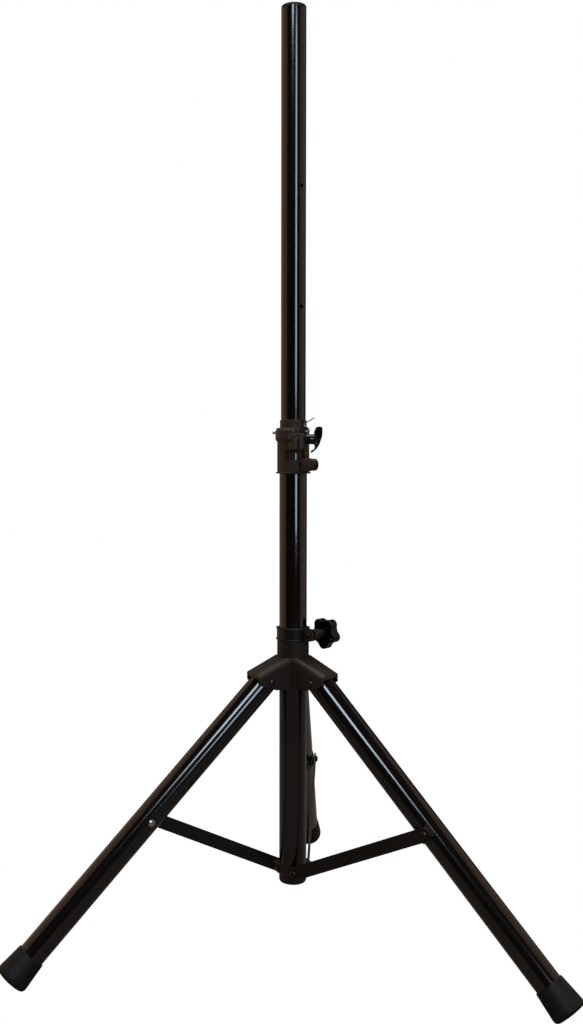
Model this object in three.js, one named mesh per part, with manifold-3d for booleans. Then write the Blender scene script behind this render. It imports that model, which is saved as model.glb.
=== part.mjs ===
// Tripod loudspeaker stand: a 35 mm pole that telescopes out of a mast, and three folding legs with braces.
// Millimetres, +Z up. The origin is on the mast's axis, on the floor that the three feet stand on.
import * as THREE from 'three';
import { mergeVertices } from 'three/addons/utils/BufferGeometryUtils.js';
import Module from 'manifold-3d';

const wasm = await Module();
wasm.setup();

// ---------------------------------------------------------------- driving dimensions
const fit = 0.3;                       // gap left between neighbours that touch on the real stand
const roundSides = 24;                 // facets of a tube
const smallSides = 12;                 // facets of bolts, bosses and knobs

// pole: the upper tube, which goes into a loudspeaker's socket
const pole = { radius: 17.5, wall: 1.5, length: 950 };
const poleHolesFromTop = [249, 416, 591, 758];
const pinnedHole = 2;                  // the pin sits in this one, counted from the top
const poleCap = { thickness: 3, edge: 1.6, spigot: 14 };
const poleGuide = { radius: 17.6, thickness: 4, spigot: 20 };

// mast: the lower tube and the plastic foot under it
const mast = { radius: 19.5, wall: 1.6, length: 600 };
const mastFoot = { clearance: 84.5, radius: 19.6, height: 27.2, edge: 4, spigot: 24 };
const lug = { reach: 23, inner: 6, low: 12.5, high: 27, corner: 4, depth: 16 };

// collar on the mast's top, with its bush, wing knob, fixing bolt and locking pin
const collar = { radius: 22.8, height: 64.5, overMast: 38.5, lip: 25, lipThickness: 2.6 };
const collarBand = { radius: 25.3, height: 17, from: 95, to: 265 };
const bush = { wall: 1.1, aboveCollar: 11 };
const pin = { radius: 2.25, azimuth: -46, belowCollarTop: 6, tip: 45, groove: 1.5, head: 2.5, headFrom: 28.2,
              headEnd: 31 };
const pinBoss = { width: 12, rear: 30.5, front: 25.4 };
const pinWire = { radius: 0.7, inPin: 2, reach: 4.9 };
const wing = { azimuth: -76, axisAt: 33.2, belowCollarTop: 16.5, hub: 7, stud: 2.5, studHead: 4,
               studHeadHeight: 2.2 };
const earBlock = { halfWidth: 11, slit: 2, reach: 39.5, below: 14.5, above: 7.5, corner: 5, edge: 1.5 };
const wingBar = { crown: 35.4, top: 17.3, topInner: 27, brow: 24.4, low: 18.8, hookTip: 18.9, hook: 2.7,
                  waist: 24, width: 7.4, edge: 0.8, lean: -16 };
const fixing = { azimuth: -58, axisAt: 25.5, aboveCollarFoot: 12.5, barrel: 9.2, start: -2.5, end: 15,
                 head: 8.5, headEnd: 22.8, shank: 3 };

// hub that slides on the mast, with its band clamp and star knob
const hub = { neck: 22.7, bore: 19.8, neckTop: 73, bottom: -12, bandSeat: 21.6, bandHeight: 18 };
const arm = { halfWidth: 21.5, halfSlot: 18.7, roofAtNeck: 31.2, roofAtEnd: 14.6, roofEnd: 58, end: 64.6,
              roof: 2.8, slotStart: 23.7, shoulder: 36, corner: 9, innerCorner: 7, endCorner: 6, endWall: 3,
              nose: 5, noseFoot: 3.5, overLeg: 0.85 };
const band = { wall: 1.2, lip: 24.4, lipThickness: 1.3, inset: 0.5 };
const star = { azimuth: 52, boltAt: 32.5, earReach: 40.5, ear: 2.6, slit: 3, sleeve: 8, sleeveTip: 5.6,
               sleeveEnd: 26.2, disc: 14, edge: 1.5, lobes: 5, lobeCentre: 15.2, lobe: 7.4, lobeArc: 63,
               bolt: 3, boltHead: 4.2, boltHeadHeight: 2.6 };

// legs and braces, three of each
const legAzimuths = { rear: 90, left: 210, right: 330 };
const spread = 45;                     // angle of an open leg from the vertical, degrees
const leg = { radius: 18.1, wall: 1.4, pivotRadius: 43, reach: 520.4, topBeyondPivot: 4, braceAt: 251.5,
              underRoof: 0.9 };
const foot = { rim: 19.8, base: 22.8, edge: 5, length: 41, floor: 5, bore: 18.4, flat: 0.5 };
const brace = { halfWidth: 9.4, thickness: 2.5, fromMast: 16.5, aboveFoot: 20 };
const bolt = { radius: 2.5, head: 4.8, headHeight: 2.8, hole: 2.85 };
const hubBolt = { head: 3.3, headHeight: 2 };
const saddle = { thickness: 1.4, length: 16, upAngle: 30, underAngle: 65 };

// ---------------------------------------------------------------- places worked out from them
const rad = THREE.MathUtils.degToRad;
const spreadAngle = rad(spread);
const footEndHeight = foot.edge - foot.edge * Math.cos(spreadAngle)
  + (foot.base - foot.edge) * Math.sin(spreadAngle) - foot.flat;
const pivotHeight = leg.reach * Math.cos(spreadAngle) + footEndHeight;
const mastBottom = mastFoot.clearance + mastFoot.height + fit;
const mastTop = mastBottom + mast.length;
const collarFoot = mastTop - collar.overMast;
const collarTop = collarFoot + collar.height;
const pinHeight = collarTop - pin.belowCollarTop;
const poleTop = pinHeight + poleHolesFromTop[pinnedHole];
const poleBottom = poleTop - poleCap.thickness - fit - pole.length;
const bushInner = pole.radius + fit;
const collarBore = mast.radius + fit;
const wingHeight = collarTop - wing.belowCollarTop;
const earEnd = earBlock.halfWidth;
const notchHalf = pin.radius + fit * 1.6;
const braceOffset = leg.radius + fit + saddle.thickness + fit + brace.thickness / 2;
const braceFootHeight = mastFoot.clearance + brace.aboveFoot;
const bracePivot = {
  x: leg.pivotRadius + leg.braceAt * Math.sin(spreadAngle),
  z: pivotHeight - leg.braceAt * Math.cos(spreadAngle),
};
const braceLength = Math.hypot(bracePivot.x - brace.fromMast, bracePivot.z - braceFootHeight);
const braceAngle = Math.atan2(bracePivot.z - braceFootHeight, bracePivot.x - brace.fromMast);

// ---------------------------------------------------------------- solids
// a closed three.js geometry as a solid: shared vertices merged, faces pointing out
function solid(geometry) {
  const bare = (geometry.index ? geometry.toNonIndexed() : geometry).clone();
  for (const name of Object.keys(bare.attributes)) if (name !== 'position') bare.deleteAttribute(name);
  const merged = mergeVertices(bare, 1e-4);
  const position = merged.attributes.position;
  const corner = (i) => new THREE.Vector3().fromBufferAttribute(position, i);
  const kept = [];
  let volume = 0;
  for (let i = 0; i < merged.index.count; i += 3) {
    const [a, b, c] = [0, 1, 2].map((k) => merged.index.getX(i + k));
    if (a === b || b === c || c === a) continue;
    kept.push([a, b, c]);
    volume += corner(a).dot(corner(b).cross(corner(c)));
  }
  const order = volume < 0 ? ([a, b, c]) => [a, c, b] : (t) => t;
  return new wasm.Manifold(new wasm.Mesh({
    numProp: 3,
    vertProperties: new Float32Array(position.array),
    triVerts: new Uint32Array(kept.flatMap(order)),
  }));
}

const moved = (geometry, x, y, z) => geometry.translate(x, y, z);
const join = (first, ...others) => others.reduce((sum, next) => sum.add(next), first);
const cut = (first, ...others) => others.reduce((rest, next) => rest.subtract(next), first);

// a profile of [radius, height] points turned round the Z axis
function turned(points, sides = roundSides) {
  const closed = [...points, points[0]].map(([r, z]) => new THREE.Vector2(r, z));
  return new THREE.LatheGeometry(closed, sides).rotateX(Math.PI / 2);
}

// a round bar along Z, from low to high
const rod = (radius, low, high, sides = smallSides) =>
  moved(new THREE.CylinderGeometry(radius, radius, high - low, sides).rotateX(Math.PI / 2),
    0, 0, (low + high) / 2);

const tube = (radius, wall, low, high) =>
  turned([[radius, low], [radius, high], [radius - wall, high], [radius - wall, low]]);

const block = (x, y, z) => moved(
  new THREE.BoxGeometry(x[1] - x[0], y[1] - y[0], z[1] - z[0]),
  (x[0] + x[1]) / 2, (y[0] + y[1]) / 2, (z[0] + z[1]) / 2);

// a shape drawn in X and Z, given thickness along Y from near to far
function plate(shape, near, far, curveSegments = 8) {
  const body = new THREE.ExtrudeGeometry(shape, { depth: far - near, bevelEnabled: false, curveSegments });
  return moved(body.rotateX(Math.PI / 2), 0, far, 0);
}

const outline = (points) => new THREE.Shape(points.map(([x, y]) => new THREE.Vector2(x, y)));

// a bar along Y, for cross bolts and their holes
const crossRod = (radius, near, far, x, z, sides = smallSides) =>
  moved(rod(radius, near, far, sides).rotateX(-Math.PI / 2), x, 0, z);

// a domed bolt head on the +Y side of the plane y = seat, or on the -Y side where side is -1
function boltHead(x, seat, z, side, head = bolt) {
  const dome = turned([
    [0, 0], [head.head, 0], [head.head, head.headHeight * 0.4], [head.head * 0.55, head.headHeight],
    [0, head.headHeight],
  ], smallSides);
  return moved(dome.rotateX(-side * Math.PI / 2), x, seat, z);
}

// the solid of a piece that is drawn along +X, turned to an azimuth about the mast's axis
const aimed = (piece, azimuth) => piece.rotate([0, 0, azimuth]);

// ---------------------------------------------------------------- materials
const paint = { color: 0x14100f, roughness: 0.32, metalness: 0.2 };
const plastic = { color: 0x1f1c1a, roughness: 0.6, metalness: 0 };
const gloss = { color: 0x070707, roughness: 0.22, metalness: 0 };
const rubber = { color: 0x1b1a1b, roughness: 0.8, metalness: 0 };
const steel = { color: 0x8d8780, roughness: 0.35, metalness: 1 };
const blackSteel = { color: 0x1a1817, roughness: 0.4, metalness: 0.6 };

const stand = new THREE.Group();

function piece(name, body, look, parent = stand) {
  const raw = body.getMesh();
  const geometry = new THREE.BufferGeometry();
  geometry.setAttribute('position', new THREE.BufferAttribute(new Float32Array(raw.vertProperties), 3));
  geometry.setIndex(new THREE.BufferAttribute(new Uint32Array(raw.triVerts), 1));
  geometry.computeVertexNormals();
  const mesh = new THREE.Mesh(geometry, new THREE.MeshStandardMaterial(look));
  mesh.name = name;
  parent.add(mesh);
  return mesh;
}

// ---------------------------------------------------------------- pole
function makePole() {
  const top = poleTop - poleCap.thickness - fit;
  const drill = solid(rod(pin.radius + fit, -pole.radius * 2, pole.radius * 2).rotateY(Math.PI / 2));
  const holes = poleHolesFromTop.map((down) => aimed(drill.translate([0, 0, poleTop - down]), pin.azimuth));
  piece('pole_tube', cut(solid(tube(pole.radius, pole.wall, poleBottom, top)), ...holes), paint);

  const inside = pole.radius - pole.wall - fit;
  piece('pole_cap', solid(turned([
    [0, top - poleCap.spigot], [inside, top - poleCap.spigot], [inside, top + fit], [pole.radius, top + fit],
    [pole.radius, poleTop - poleCap.edge], [pole.radius - poleCap.edge * 0.35, poleTop - poleCap.edge * 0.35],
    [pole.radius - poleCap.edge, poleTop], [0, poleTop],
  ])), plastic);

  const seat = poleBottom - fit;
  piece('pole_guide', solid(turned([
    [0, seat - poleGuide.thickness], [poleGuide.radius, seat - poleGuide.thickness], [poleGuide.radius, seat],
    [inside, seat], [inside, seat + poleGuide.spigot], [0, seat + poleGuide.spigot],
  ])), plastic);
}

// ---------------------------------------------------------------- mast and its foot
function makeMast() {
  piece('mast_tube', solid(tube(mast.radius, mast.wall, mastBottom, mastTop)), paint);

  const low = mastFoot.clearance;
  const top = low + mastFoot.height;
  const inside = mast.radius - mast.wall - fit;
  const core = solid(turned([
    [0, low], [mastFoot.radius - mastFoot.edge, low],
    [mastFoot.radius - mastFoot.edge * 0.3, low + mastFoot.edge * 0.3],
    [mastFoot.radius, low + mastFoot.edge], [mastFoot.radius, top], [inside, top],
    [inside, top + mastFoot.spigot], [0, top + mastFoot.spigot],
  ]));
  const face = -(braceOffset - brace.thickness / 2 - fit);
  const { inner, reach, corner } = lug;
  const [bottom, upper] = [low + lug.low, low + lug.high];
  const side = new THREE.Shape();
  side.moveTo(inner, bottom).lineTo(reach - corner, bottom);
  side.quadraticCurveTo(reach, bottom, reach, bottom + corner);
  side.lineTo(reach, upper - corner).quadraticCurveTo(reach, upper, reach - corner, upper);
  side.lineTo(inner, upper).closePath();
  const ear = solid(plate(side, face, face + lug.depth, 3));
  const drill = solid(crossRod(bolt.hole, face - 1, face + lug.depth - 2, brace.fromMast, braceFootHeight));
  const ears = Object.values(legAzimuths).map((azimuth) => aimed(ear, azimuth));
  const holes = Object.values(legAzimuths).map((azimuth) => aimed(drill, azimuth));
  piece('mast_foot', cut(join(core, ...ears), ...holes), plastic);
}

// ---------------------------------------------------------------- collar
// a wedge of material between two azimuths, for part rings
function sector(from, to, low, high, reach = 2 * collarBand.radius) {
  const shape = new THREE.Shape();
  shape.moveTo(0, 0).absarc(0, 0, reach, rad(from), rad(to), false).closePath();
  const wedge = new THREE.ExtrudeGeometry(shape, { depth: high - low, bevelEnabled: false, curveSegments: 6 });
  return moved(wedge, 0, 0, low);
}

function makeCollar() {
  const bandFoot = collarTop - collarBand.height;
  const wall = collar.radius - collarBore;
  const sleeve = solid(turned([
    [collarBore, collarFoot], [collar.lip, collarFoot], [collar.lip, collarFoot + collar.lipThickness * 0.5],
    [collar.radius, collarFoot + collar.lipThickness], [collar.radius, collarTop - 5],
    [collar.radius - 2, collarTop], [collarBore, collarTop],
  ]));
  const bulge = solid(turned([
    [collarBore, bandFoot - 3], [collar.radius - 0.5, bandFoot - 3], [collarBand.radius, bandFoot],
    [collarBand.radius, collarTop - 4], [collarBand.radius - 2.5, collarTop], [collarBore, collarTop],
  ])).intersect(solid(sector(collarBand.from, collarBand.to, bandFoot - 5, collarTop + 5)));

  // clamp block: one solid lump that the slit splits in two, with the stud of the wing knob across it
  const { halfWidth, reach, corner, edge } = earBlock;
  const low = wingHeight - earBlock.below;
  const high = wingHeight + earBlock.above;
  const plan = new THREE.Shape();
  plan.moveTo(collarBore, -halfWidth).lineTo(reach - corner, -halfWidth);
  plan.quadraticCurveTo(reach, -halfWidth, reach, -halfWidth + corner);
  plan.lineTo(reach, halfWidth - corner).quadraticCurveTo(reach, halfWidth, reach - corner, halfWidth);
  plan.lineTo(collarBore, halfWidth).closePath();
  const lump = new THREE.ExtrudeGeometry(plan, {
    depth: high - low - 2 * edge, bevelThickness: edge, bevelSize: edge, bevelOffset: -edge, bevelSegments: 1,
    curveSegments: 3,
  });
  const ears = aimed(solid(moved(lump, 0, 0, low + edge)), wing.azimuth);
  const slit = aimed(solid(block([collarBore - wall, reach * 2], [-earBlock.slit / 2, earBlock.slit / 2],
    [low - earBlock.below, collarTop + pin.belowCollarTop])), wing.azimuth);
  const studHole = aimed(
    solid(crossRod(wing.stud + fit, -halfWidth * 2, halfWidth * 2, wing.axisAt, wingHeight)), wing.azimuth);

  const fixingHeight = collarFoot + fixing.aboveCollarFoot;
  const { start, end, axisAt, shank } = fixing;
  const barrel = aimed(
    solid(crossRod(fixing.barrel, start, end, axisAt, fixingHeight)), fixing.azimuth);
  const screwHole = crossRod(shank + fit, start + 3, end + 5, axisAt, fixingHeight);
  const barrelHole = aimed(solid(screwHole), fixing.azimuth);

  const pinBlock = (end) => solid(block([collarBore, end], [-pinBoss.width / 2, pinBoss.width / 2],
    [bandFoot, collarTop]));
  const through = [-2 * pinBoss.rear, 2 * pinBoss.rear];
  const notch = aimed(solid(block(through, [-notchHalf, notchHalf], [pinHeight - notchHalf, collarTop + 5])),
    pin.azimuth);
  const bore = solid(rod(collarBore, collarFoot - 5, collarTop + 5, roundSides));
  const bossRear = aimed(pinBlock(pinBoss.rear), pin.azimuth + 180);
  const bossFront = aimed(pinBlock(pinBoss.front), pin.azimuth);
  piece('clamp_collar', cut(join(sleeve, bulge, ears, barrel, bossRear, bossFront),
    bore, slit, studHole, barrelHole, notch), plastic);

  const bushLow = mastTop + fit;
  const bushTop = collarTop + bush.aboveCollar;
  const seat = collarBore - fit;
  piece('collar_bush', cut(
    solid(turned([
      [bushInner, bushLow], [seat, bushLow], [seat, collarTop - 1], [bushInner + bush.wall, collarTop],
      [bushInner + bush.wall, bushTop], [bushInner, bushTop],
    ])),
    aimed(solid(block(through, [-notchHalf, notchHalf], [pinHeight - notchHalf, bushTop + 5])), pin.azimuth),
  ), plastic);

  // fixing bolt that draws the collar tight on the mast
  const headSeat = end + fit;
  const round = turned([
    [0, headSeat], [fixing.head, headSeat], [fixing.head, fixing.headEnd - 1.8],
    [fixing.head - 1.8, fixing.headEnd], [0, fixing.headEnd],
  ], smallSides).rotateX(-Math.PI / 2);
  piece('collar_bolt', aimed(join(
    solid(moved(round, axisAt, 0, fixingHeight)),
    solid(crossRod(shank, start + 4, headSeat + 1, axisAt, fixingHeight))), fixing.azimuth), blackSteel);
}

// ---------------------------------------------------------------- wing knob
// drawn with its axis along +Y at x = 0, z = 0: y runs out from the clamp block, z along the wings
function makeWingKnob() {
  const { crown, top, topInner, brow, low, hookTip, hook, waist, edge } = wingBar;
  const half = (waist + hookTip) / 2;
  const bow = new THREE.Shape();
  // fat upper wing
  bow.moveTo(brow, wing.hub + 1.3);
  bow.quadraticCurveTo(brow - 0.4, top - 4.8, topInner, top - 0.8);
  bow.quadraticCurveTo(topInner + 2.5, top + 0.4, crown - 2.5, top);
  bow.quadraticCurveTo(crown, top, crown, top - 3.2);
  // crown, then the thin lower wing that hooks back towards the collar
  bow.quadraticCurveTo(crown - 0.2, low * 0.16, crown - 3, -low * 0.1);
  bow.quadraticCurveTo(crown - 5.8, -low * 0.6, waist, -low * 0.84);
  bow.quadraticCurveTo(half, -low * 0.97, hookTip, -low);
  bow.quadraticCurveTo(hookTip - 1.2, -low + hook / 2, hookTip, -low + hook);
  bow.quadraticCurveTo(half + 1, -low + hook, waist - 0.6, -low * 0.67);
  bow.quadraticCurveTo(waist + 0.4, -low * 0.52, waist, -wing.hub - 0.2);
  bow.lineTo(waist - 1.8, -wing.hub * 0.9).lineTo(waist - 1.8, wing.hub * 0.9).closePath();
  const bar = new THREE.ExtrudeGeometry(bow, {
    depth: wingBar.width - 2 * edge, bevelThickness: edge, bevelSize: edge, bevelOffset: -edge,
    bevelSegments: 1, curveSegments: 4,
  });
  // shape x becomes Y, shape y becomes Z, the extrusion becomes X
  bar.rotateX(Math.PI / 2).rotateZ(Math.PI / 2);
  bar.computeBoundingBox();
  const wings = solid(moved(bar, -(bar.boundingBox.min.x + bar.boundingBox.max.x) / 2, 0, 0));
  const hubStart = earEnd + fit;
  const stem = solid(crossRod(wing.hub, hubStart, waist, 0, 0));
  const bore = solid(crossRod(wing.stud + fit, hubStart - 1, waist - 2.4, 0, 0));
  const knob = cut(join(wings, stem), bore).rotate([0, wingBar.lean, 0]);
  piece('wing_knob', aimed(knob.translate([wing.axisAt, 0, wingHeight]), wing.azimuth), gloss);

  const headSeat = -earEnd - fit;
  const studHead = { head: wing.studHead, headHeight: wing.studHeadHeight };
  piece('wing_stud', aimed(join(
    solid(crossRod(wing.stud, headSeat - 1, waist - 3, wing.axisAt, wingHeight)),
    solid(boltHead(wing.axisAt, headSeat, wingHeight, -1, studHead))), wing.azimuth), blackSteel);
}

// ---------------------------------------------------------------- locking pin
function makePin() {
  const { radius, tip, head, headFrom, headEnd } = pin;
  const { groove } = pin;
  const wireHole = pinWire.radius + fit;
  const holeEnd = headEnd - pinWire.inPin - fit;
  const body = solid(turned([
    [0, -tip], [radius * 0.6, -tip], [radius, -tip + 1.2], [radius, -tip + 3], [groove, -tip + 4],
    [groove, -tip + 5.6], [radius, -tip + 6.6], [radius, headFrom], [head, headFrom], [head, headEnd - 0.6],
    [head - 0.6, headEnd], [wireHole, headEnd], [wireHole, holeEnd], [0, holeEnd],
  ], smallSides).rotateY(Math.PI / 2));
  piece('locking_pin', aimed(body.translate([0, 0, pinHeight]), pin.azimuth), steel);

  // spring wire set in the pin's end: it curls up and back over the collar, and its tail stands away
  const far = headEnd + pinWire.reach;
  const route = [
    [headEnd - pinWire.inPin, 0, 0], [headEnd, 0, 0], [far - 2.9, 0, 0.1], [far - 0.9, 0, 0.8], [far, 0, 2.2],
    [far - 0.7, 0, 3.8], [far - 2.3, 0, 4.9], [far - 4.1, 0, 5.8], [far - 6.9, 0, 6.7],
    [far - 9.5, -0.4, 7.4], [far - 11.5, -0.8, 9], [far - 10.9, -0.6, 11.2], [far - 7.3, 1.4, 13.8],
    [far - 2.5, 3.8, 16.6], [far + 2.1, 6.4, 19.4],
  ].map(([x, y, z]) => new THREE.Vector3(x, y, pinHeight + z));
  const section = new THREE.Shape().absarc(0, 0, pinWire.radius, 0, Math.PI * 2, false);
  const wire = new THREE.ExtrudeGeometry(section, {
    extrudePath: new THREE.CatmullRomCurve3(route), steps: 44, curveSegments: 4, bevelEnabled: false,
  });
  piece('pin_wire', aimed(solid(wire), pin.azimuth), steel);
}

// ---------------------------------------------------------------- sliding hub
const roofSlope = (arm.roofAtEnd - arm.roofAtNeck) / (arm.roofEnd - hub.neck);
const roofAt = (r) => arm.roofAtNeck + roofSlope * (r - hub.neck);
const roofDrop = arm.roof / Math.cos(Math.atan(roofSlope));
// height over the pivot of an open leg's upper side, with the clearance that the arm's end keeps
const aboveLeg = (r) => (leg.radius + arm.overLeg - (r - leg.pivotRadius) * Math.cos(spreadAngle))
  / Math.sin(spreadAngle);

// a bar with rounded top edges that runs down the arm's slope, so far below the roof
function armBar(half, below, edge) {
  const length = 3 * arm.end;
  const flat = half - edge * 1.3;
  const section = new THREE.Shape();
  section.moveTo(-half, -length).lineTo(half, -length).lineTo(half, -below - edge);
  section.quadraticCurveTo(half, -below, flat, -below);
  section.lineTo(-flat, -below).quadraticCurveTo(-half, -below, -half, -below - edge).closePath();
  const run = new THREE.ExtrudeGeometry(section, { depth: length, bevelEnabled: false, curveSegments: 4 });
  run.rotateX(Math.PI / 2).rotateZ(Math.PI / 2);
  moved(run, -arm.end, 0, 0).rotateY(-Math.atan(roofSlope));
  return solid(moved(run, hub.neck, 0, arm.roofAtNeck));
}

function makeHub() {
  const neckTop = pivotHeight + hub.neckTop;
  const seat = neckTop - hub.bandHeight;
  const core = solid(turned([
    [0, pivotHeight + hub.bottom], [hub.neck, pivotHeight + hub.bottom], [hub.neck, seat],
    [hub.bandSeat, seat], [hub.bandSeat, neckTop], [0, neckTop],
  ]));
  const { halfWidth, endCorner, end, nose } = arm;
  const side = new THREE.Shape();
  side.moveTo(0, hub.bottom).lineTo(arm.shoulder, hub.bottom).lineTo(end - nose, -arm.noseFoot);
  side.quadraticCurveTo(end, -arm.noseFoot * 0.3, end, nose);
  side.quadraticCurveTo(end, arm.roofAtEnd, arm.roofEnd, arm.roofAtEnd);
  side.lineTo(hub.neck, arm.roofAtNeck).lineTo(0, arm.roofAtNeck).closePath();
  const plan = new THREE.Shape();
  plan.moveTo(0, -halfWidth).lineTo(end - endCorner, -halfWidth);
  plan.quadraticCurveTo(end, -halfWidth, end, -halfWidth + endCorner);
  plan.lineTo(end, halfWidth - endCorner).quadraticCurveTo(end, halfWidth, end - endCorner, halfWidth);
  plan.lineTo(0, halfWidth).closePath();
  const planned = new THREE.ExtrudeGeometry(plan, { depth: 2 * end, bevelEnabled: false, curveSegments: 4 });
  const limits = solid(moved(planned, 0, 0, -end)).intersect(armBar(halfWidth, 0, arm.corner));

  const slotEnd = end - arm.endWall;
  const slot = outline([
    [arm.slotStart, -end], [arm.slotStart, roofAt(arm.slotStart)], [slotEnd, roofAt(slotEnd)],
    [slotEnd, aboveLeg(slotEnd)], [end + arm.endWall, aboveLeg(end + arm.endWall)], [end * 2, -end],
  ]);
  const hollow = solid(plate(slot, -arm.halfSlot, arm.halfSlot)).intersect(
    armBar(arm.halfSlot, arm.roof, arm.innerCorner));
  const arms = Object.values(legAzimuths).map((azimuth) => aimed(
    solid(plate(side, -halfWidth, halfWidth, 4)).intersect(limits).translate([0, 0, pivotHeight]), azimuth));
  const slots = Object.values(legAzimuths).map((azimuth) => aimed(
    hollow.translate([0, 0, pivotHeight]), azimuth));
  const holes = Object.values(legAzimuths).map((azimuth) => aimed(
    solid(crossRod(bolt.hole, -2 * halfWidth, 2 * halfWidth, leg.pivotRadius, pivotHeight)), azimuth));
  piece('leg_hub', cut(join(core, ...arms), ...slots, ...holes,
    solid(rod(hub.bore, pivotHeight - end, neckTop + end, roundSides))), plastic);

  for (const [name, azimuth] of Object.entries(legAzimuths)) {
    const outside = halfWidth + fit;
    piece(`${name}_leg_bolt`, aimed(join(
      solid(crossRod(bolt.radius, -outside - 1, outside + 1, leg.pivotRadius, pivotHeight)),
      solid(boltHead(leg.pivotRadius, outside, pivotHeight, 1, hubBolt)),
      solid(boltHead(leg.pivotRadius, -outside, pivotHeight, -1, hubBolt))), azimuth), steel);
  }
}

// ---------------------------------------------------------------- band clamp and star knob
function makeBandClamp() {
  const top = pivotHeight + hub.neckTop - band.inset;
  const low = top - hub.bandHeight + 2 * band.inset;
  const inner = hub.bandSeat + fit;
  const outer = inner + band.wall;
  const ring = solid(turned([
    [inner, low], [band.lip, low], [band.lip, low + band.lipThickness], [outer, low + band.lipThickness],
    [outer, top - band.lipThickness], [band.lip, top - band.lipThickness], [band.lip, top], [inner, top],
  ]));
  const boltHeight = (low + top) / 2;
  const earShape = new THREE.Shape();
  const round = star.earReach - star.boltAt;
  earShape.moveTo(inner + band.wall / 2, low).lineTo(star.boltAt, low);
  earShape.quadraticCurveTo(star.boltAt + round, low, star.boltAt + round, boltHeight);
  earShape.quadraticCurveTo(star.boltAt + round, top, star.boltAt, top);
  earShape.lineTo(inner + band.wall / 2, top).closePath();
  const ears = [-1, 1].map((sign) => {
    const faces = [sign * star.slit / 2, sign * (star.slit / 2 + star.ear)].sort((a, b) => a - b);
    return solid(plate(earShape, faces[0], faces[1], 4));
  });
  const reach = star.earReach * 2;
  const gap = solid(block([0, reach], [-star.slit / 2, star.slit / 2], [low - round, top + round]));
  const boltHole = solid(crossRod(star.bolt + fit, -reach, reach, star.boltAt, boltHeight));
  const neck = solid(rod(inner, low - round, top + round, roundSides));
  const earAzimuth = star.azimuth - 90;
  const earPair = aimed(cut(join(...ears), boltHole), earAzimuth);
  piece('band_clamp', cut(join(ring, earPair), aimed(gap, earAzimuth), neck), blackSteel);

  // bolt along the tangent: its head in front of the ears, then the sleeve, and the knob on its far end
  const seat = star.slit / 2 + star.ear + fit;
  const knobStart = star.sleeveEnd + fit;
  const head = { head: star.boltHead, headHeight: star.boltHeadHeight };
  const boltEnd = knobStart + star.disc / 3;
  piece('band_bolt', aimed(join(
    solid(crossRod(star.bolt, -seat - 1, boltEnd, star.boltAt, boltHeight)),
    solid(boltHead(star.boltAt, -seat, boltHeight, -1, head))), earAzimuth), blackSteel);
  const bore = star.bolt + fit;
  piece('knob_sleeve', aimed(solid(moved(turned([
    [bore, seat], [star.sleeve, seat], [star.sleeve, seat + star.ear], [star.sleeveTip, star.sleeveEnd],
    [bore, star.sleeveEnd],
  ], smallSides).rotateX(-Math.PI / 2), star.boltAt, 0, boltHeight)), earAzimuth), plastic);

  // star: round lobes with hollows between them that run on from the lobes' sides
  const { lobe, lobeCentre, disc, edge } = star;
  const half = rad(star.lobeArc);
  const [sideOut, sideAcross] = [lobeCentre + lobe * Math.cos(half), lobe * Math.sin(half)];
  const between = Math.PI / star.lobes;
  const slope = Math.tan(between);
  const run = (sideOut * slope - sideAcross) / (Math.cos(half) + Math.sin(half) * slope);
  const hollow = (sideOut - run * Math.sin(half)) / Math.cos(between);
  const lobed = new THREE.Shape();
  for (let i = 0; i < star.lobes; i++) {
    const at = 2 * between * i - Math.PI / 2;
    const turn = (out, across, angle) => [
      out * Math.cos(angle) - across * Math.sin(angle), out * Math.sin(angle) + across * Math.cos(angle)];
    if (i === 0) lobed.moveTo(...turn(sideOut, -sideAcross, at));
    lobed.absarc(lobeCentre * Math.cos(at), lobeCentre * Math.sin(at), lobe, at - half, at + half, false);
    lobed.quadraticCurveTo(...turn(hollow, 0, at + between), ...turn(sideOut, -sideAcross, at + 2 * between));
  }
  const body = new THREE.ExtrudeGeometry(lobed, {
    depth: disc - 2 * edge, bevelThickness: edge, bevelSize: edge, bevelOffset: -edge, bevelSegments: 1,
    curveSegments: 3,
  });
  const knob = cut(solid(moved(body.rotateX(Math.PI / 2), 0, knobStart + disc - edge, 0)),
    solid(crossRod(bore, knobStart - 1, boltEnd + fit, 0, 0)));
  piece('star_knob', aimed(knob.translate([star.boltAt, 0, boltHeight]), earAzimuth), gloss);
}

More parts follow.
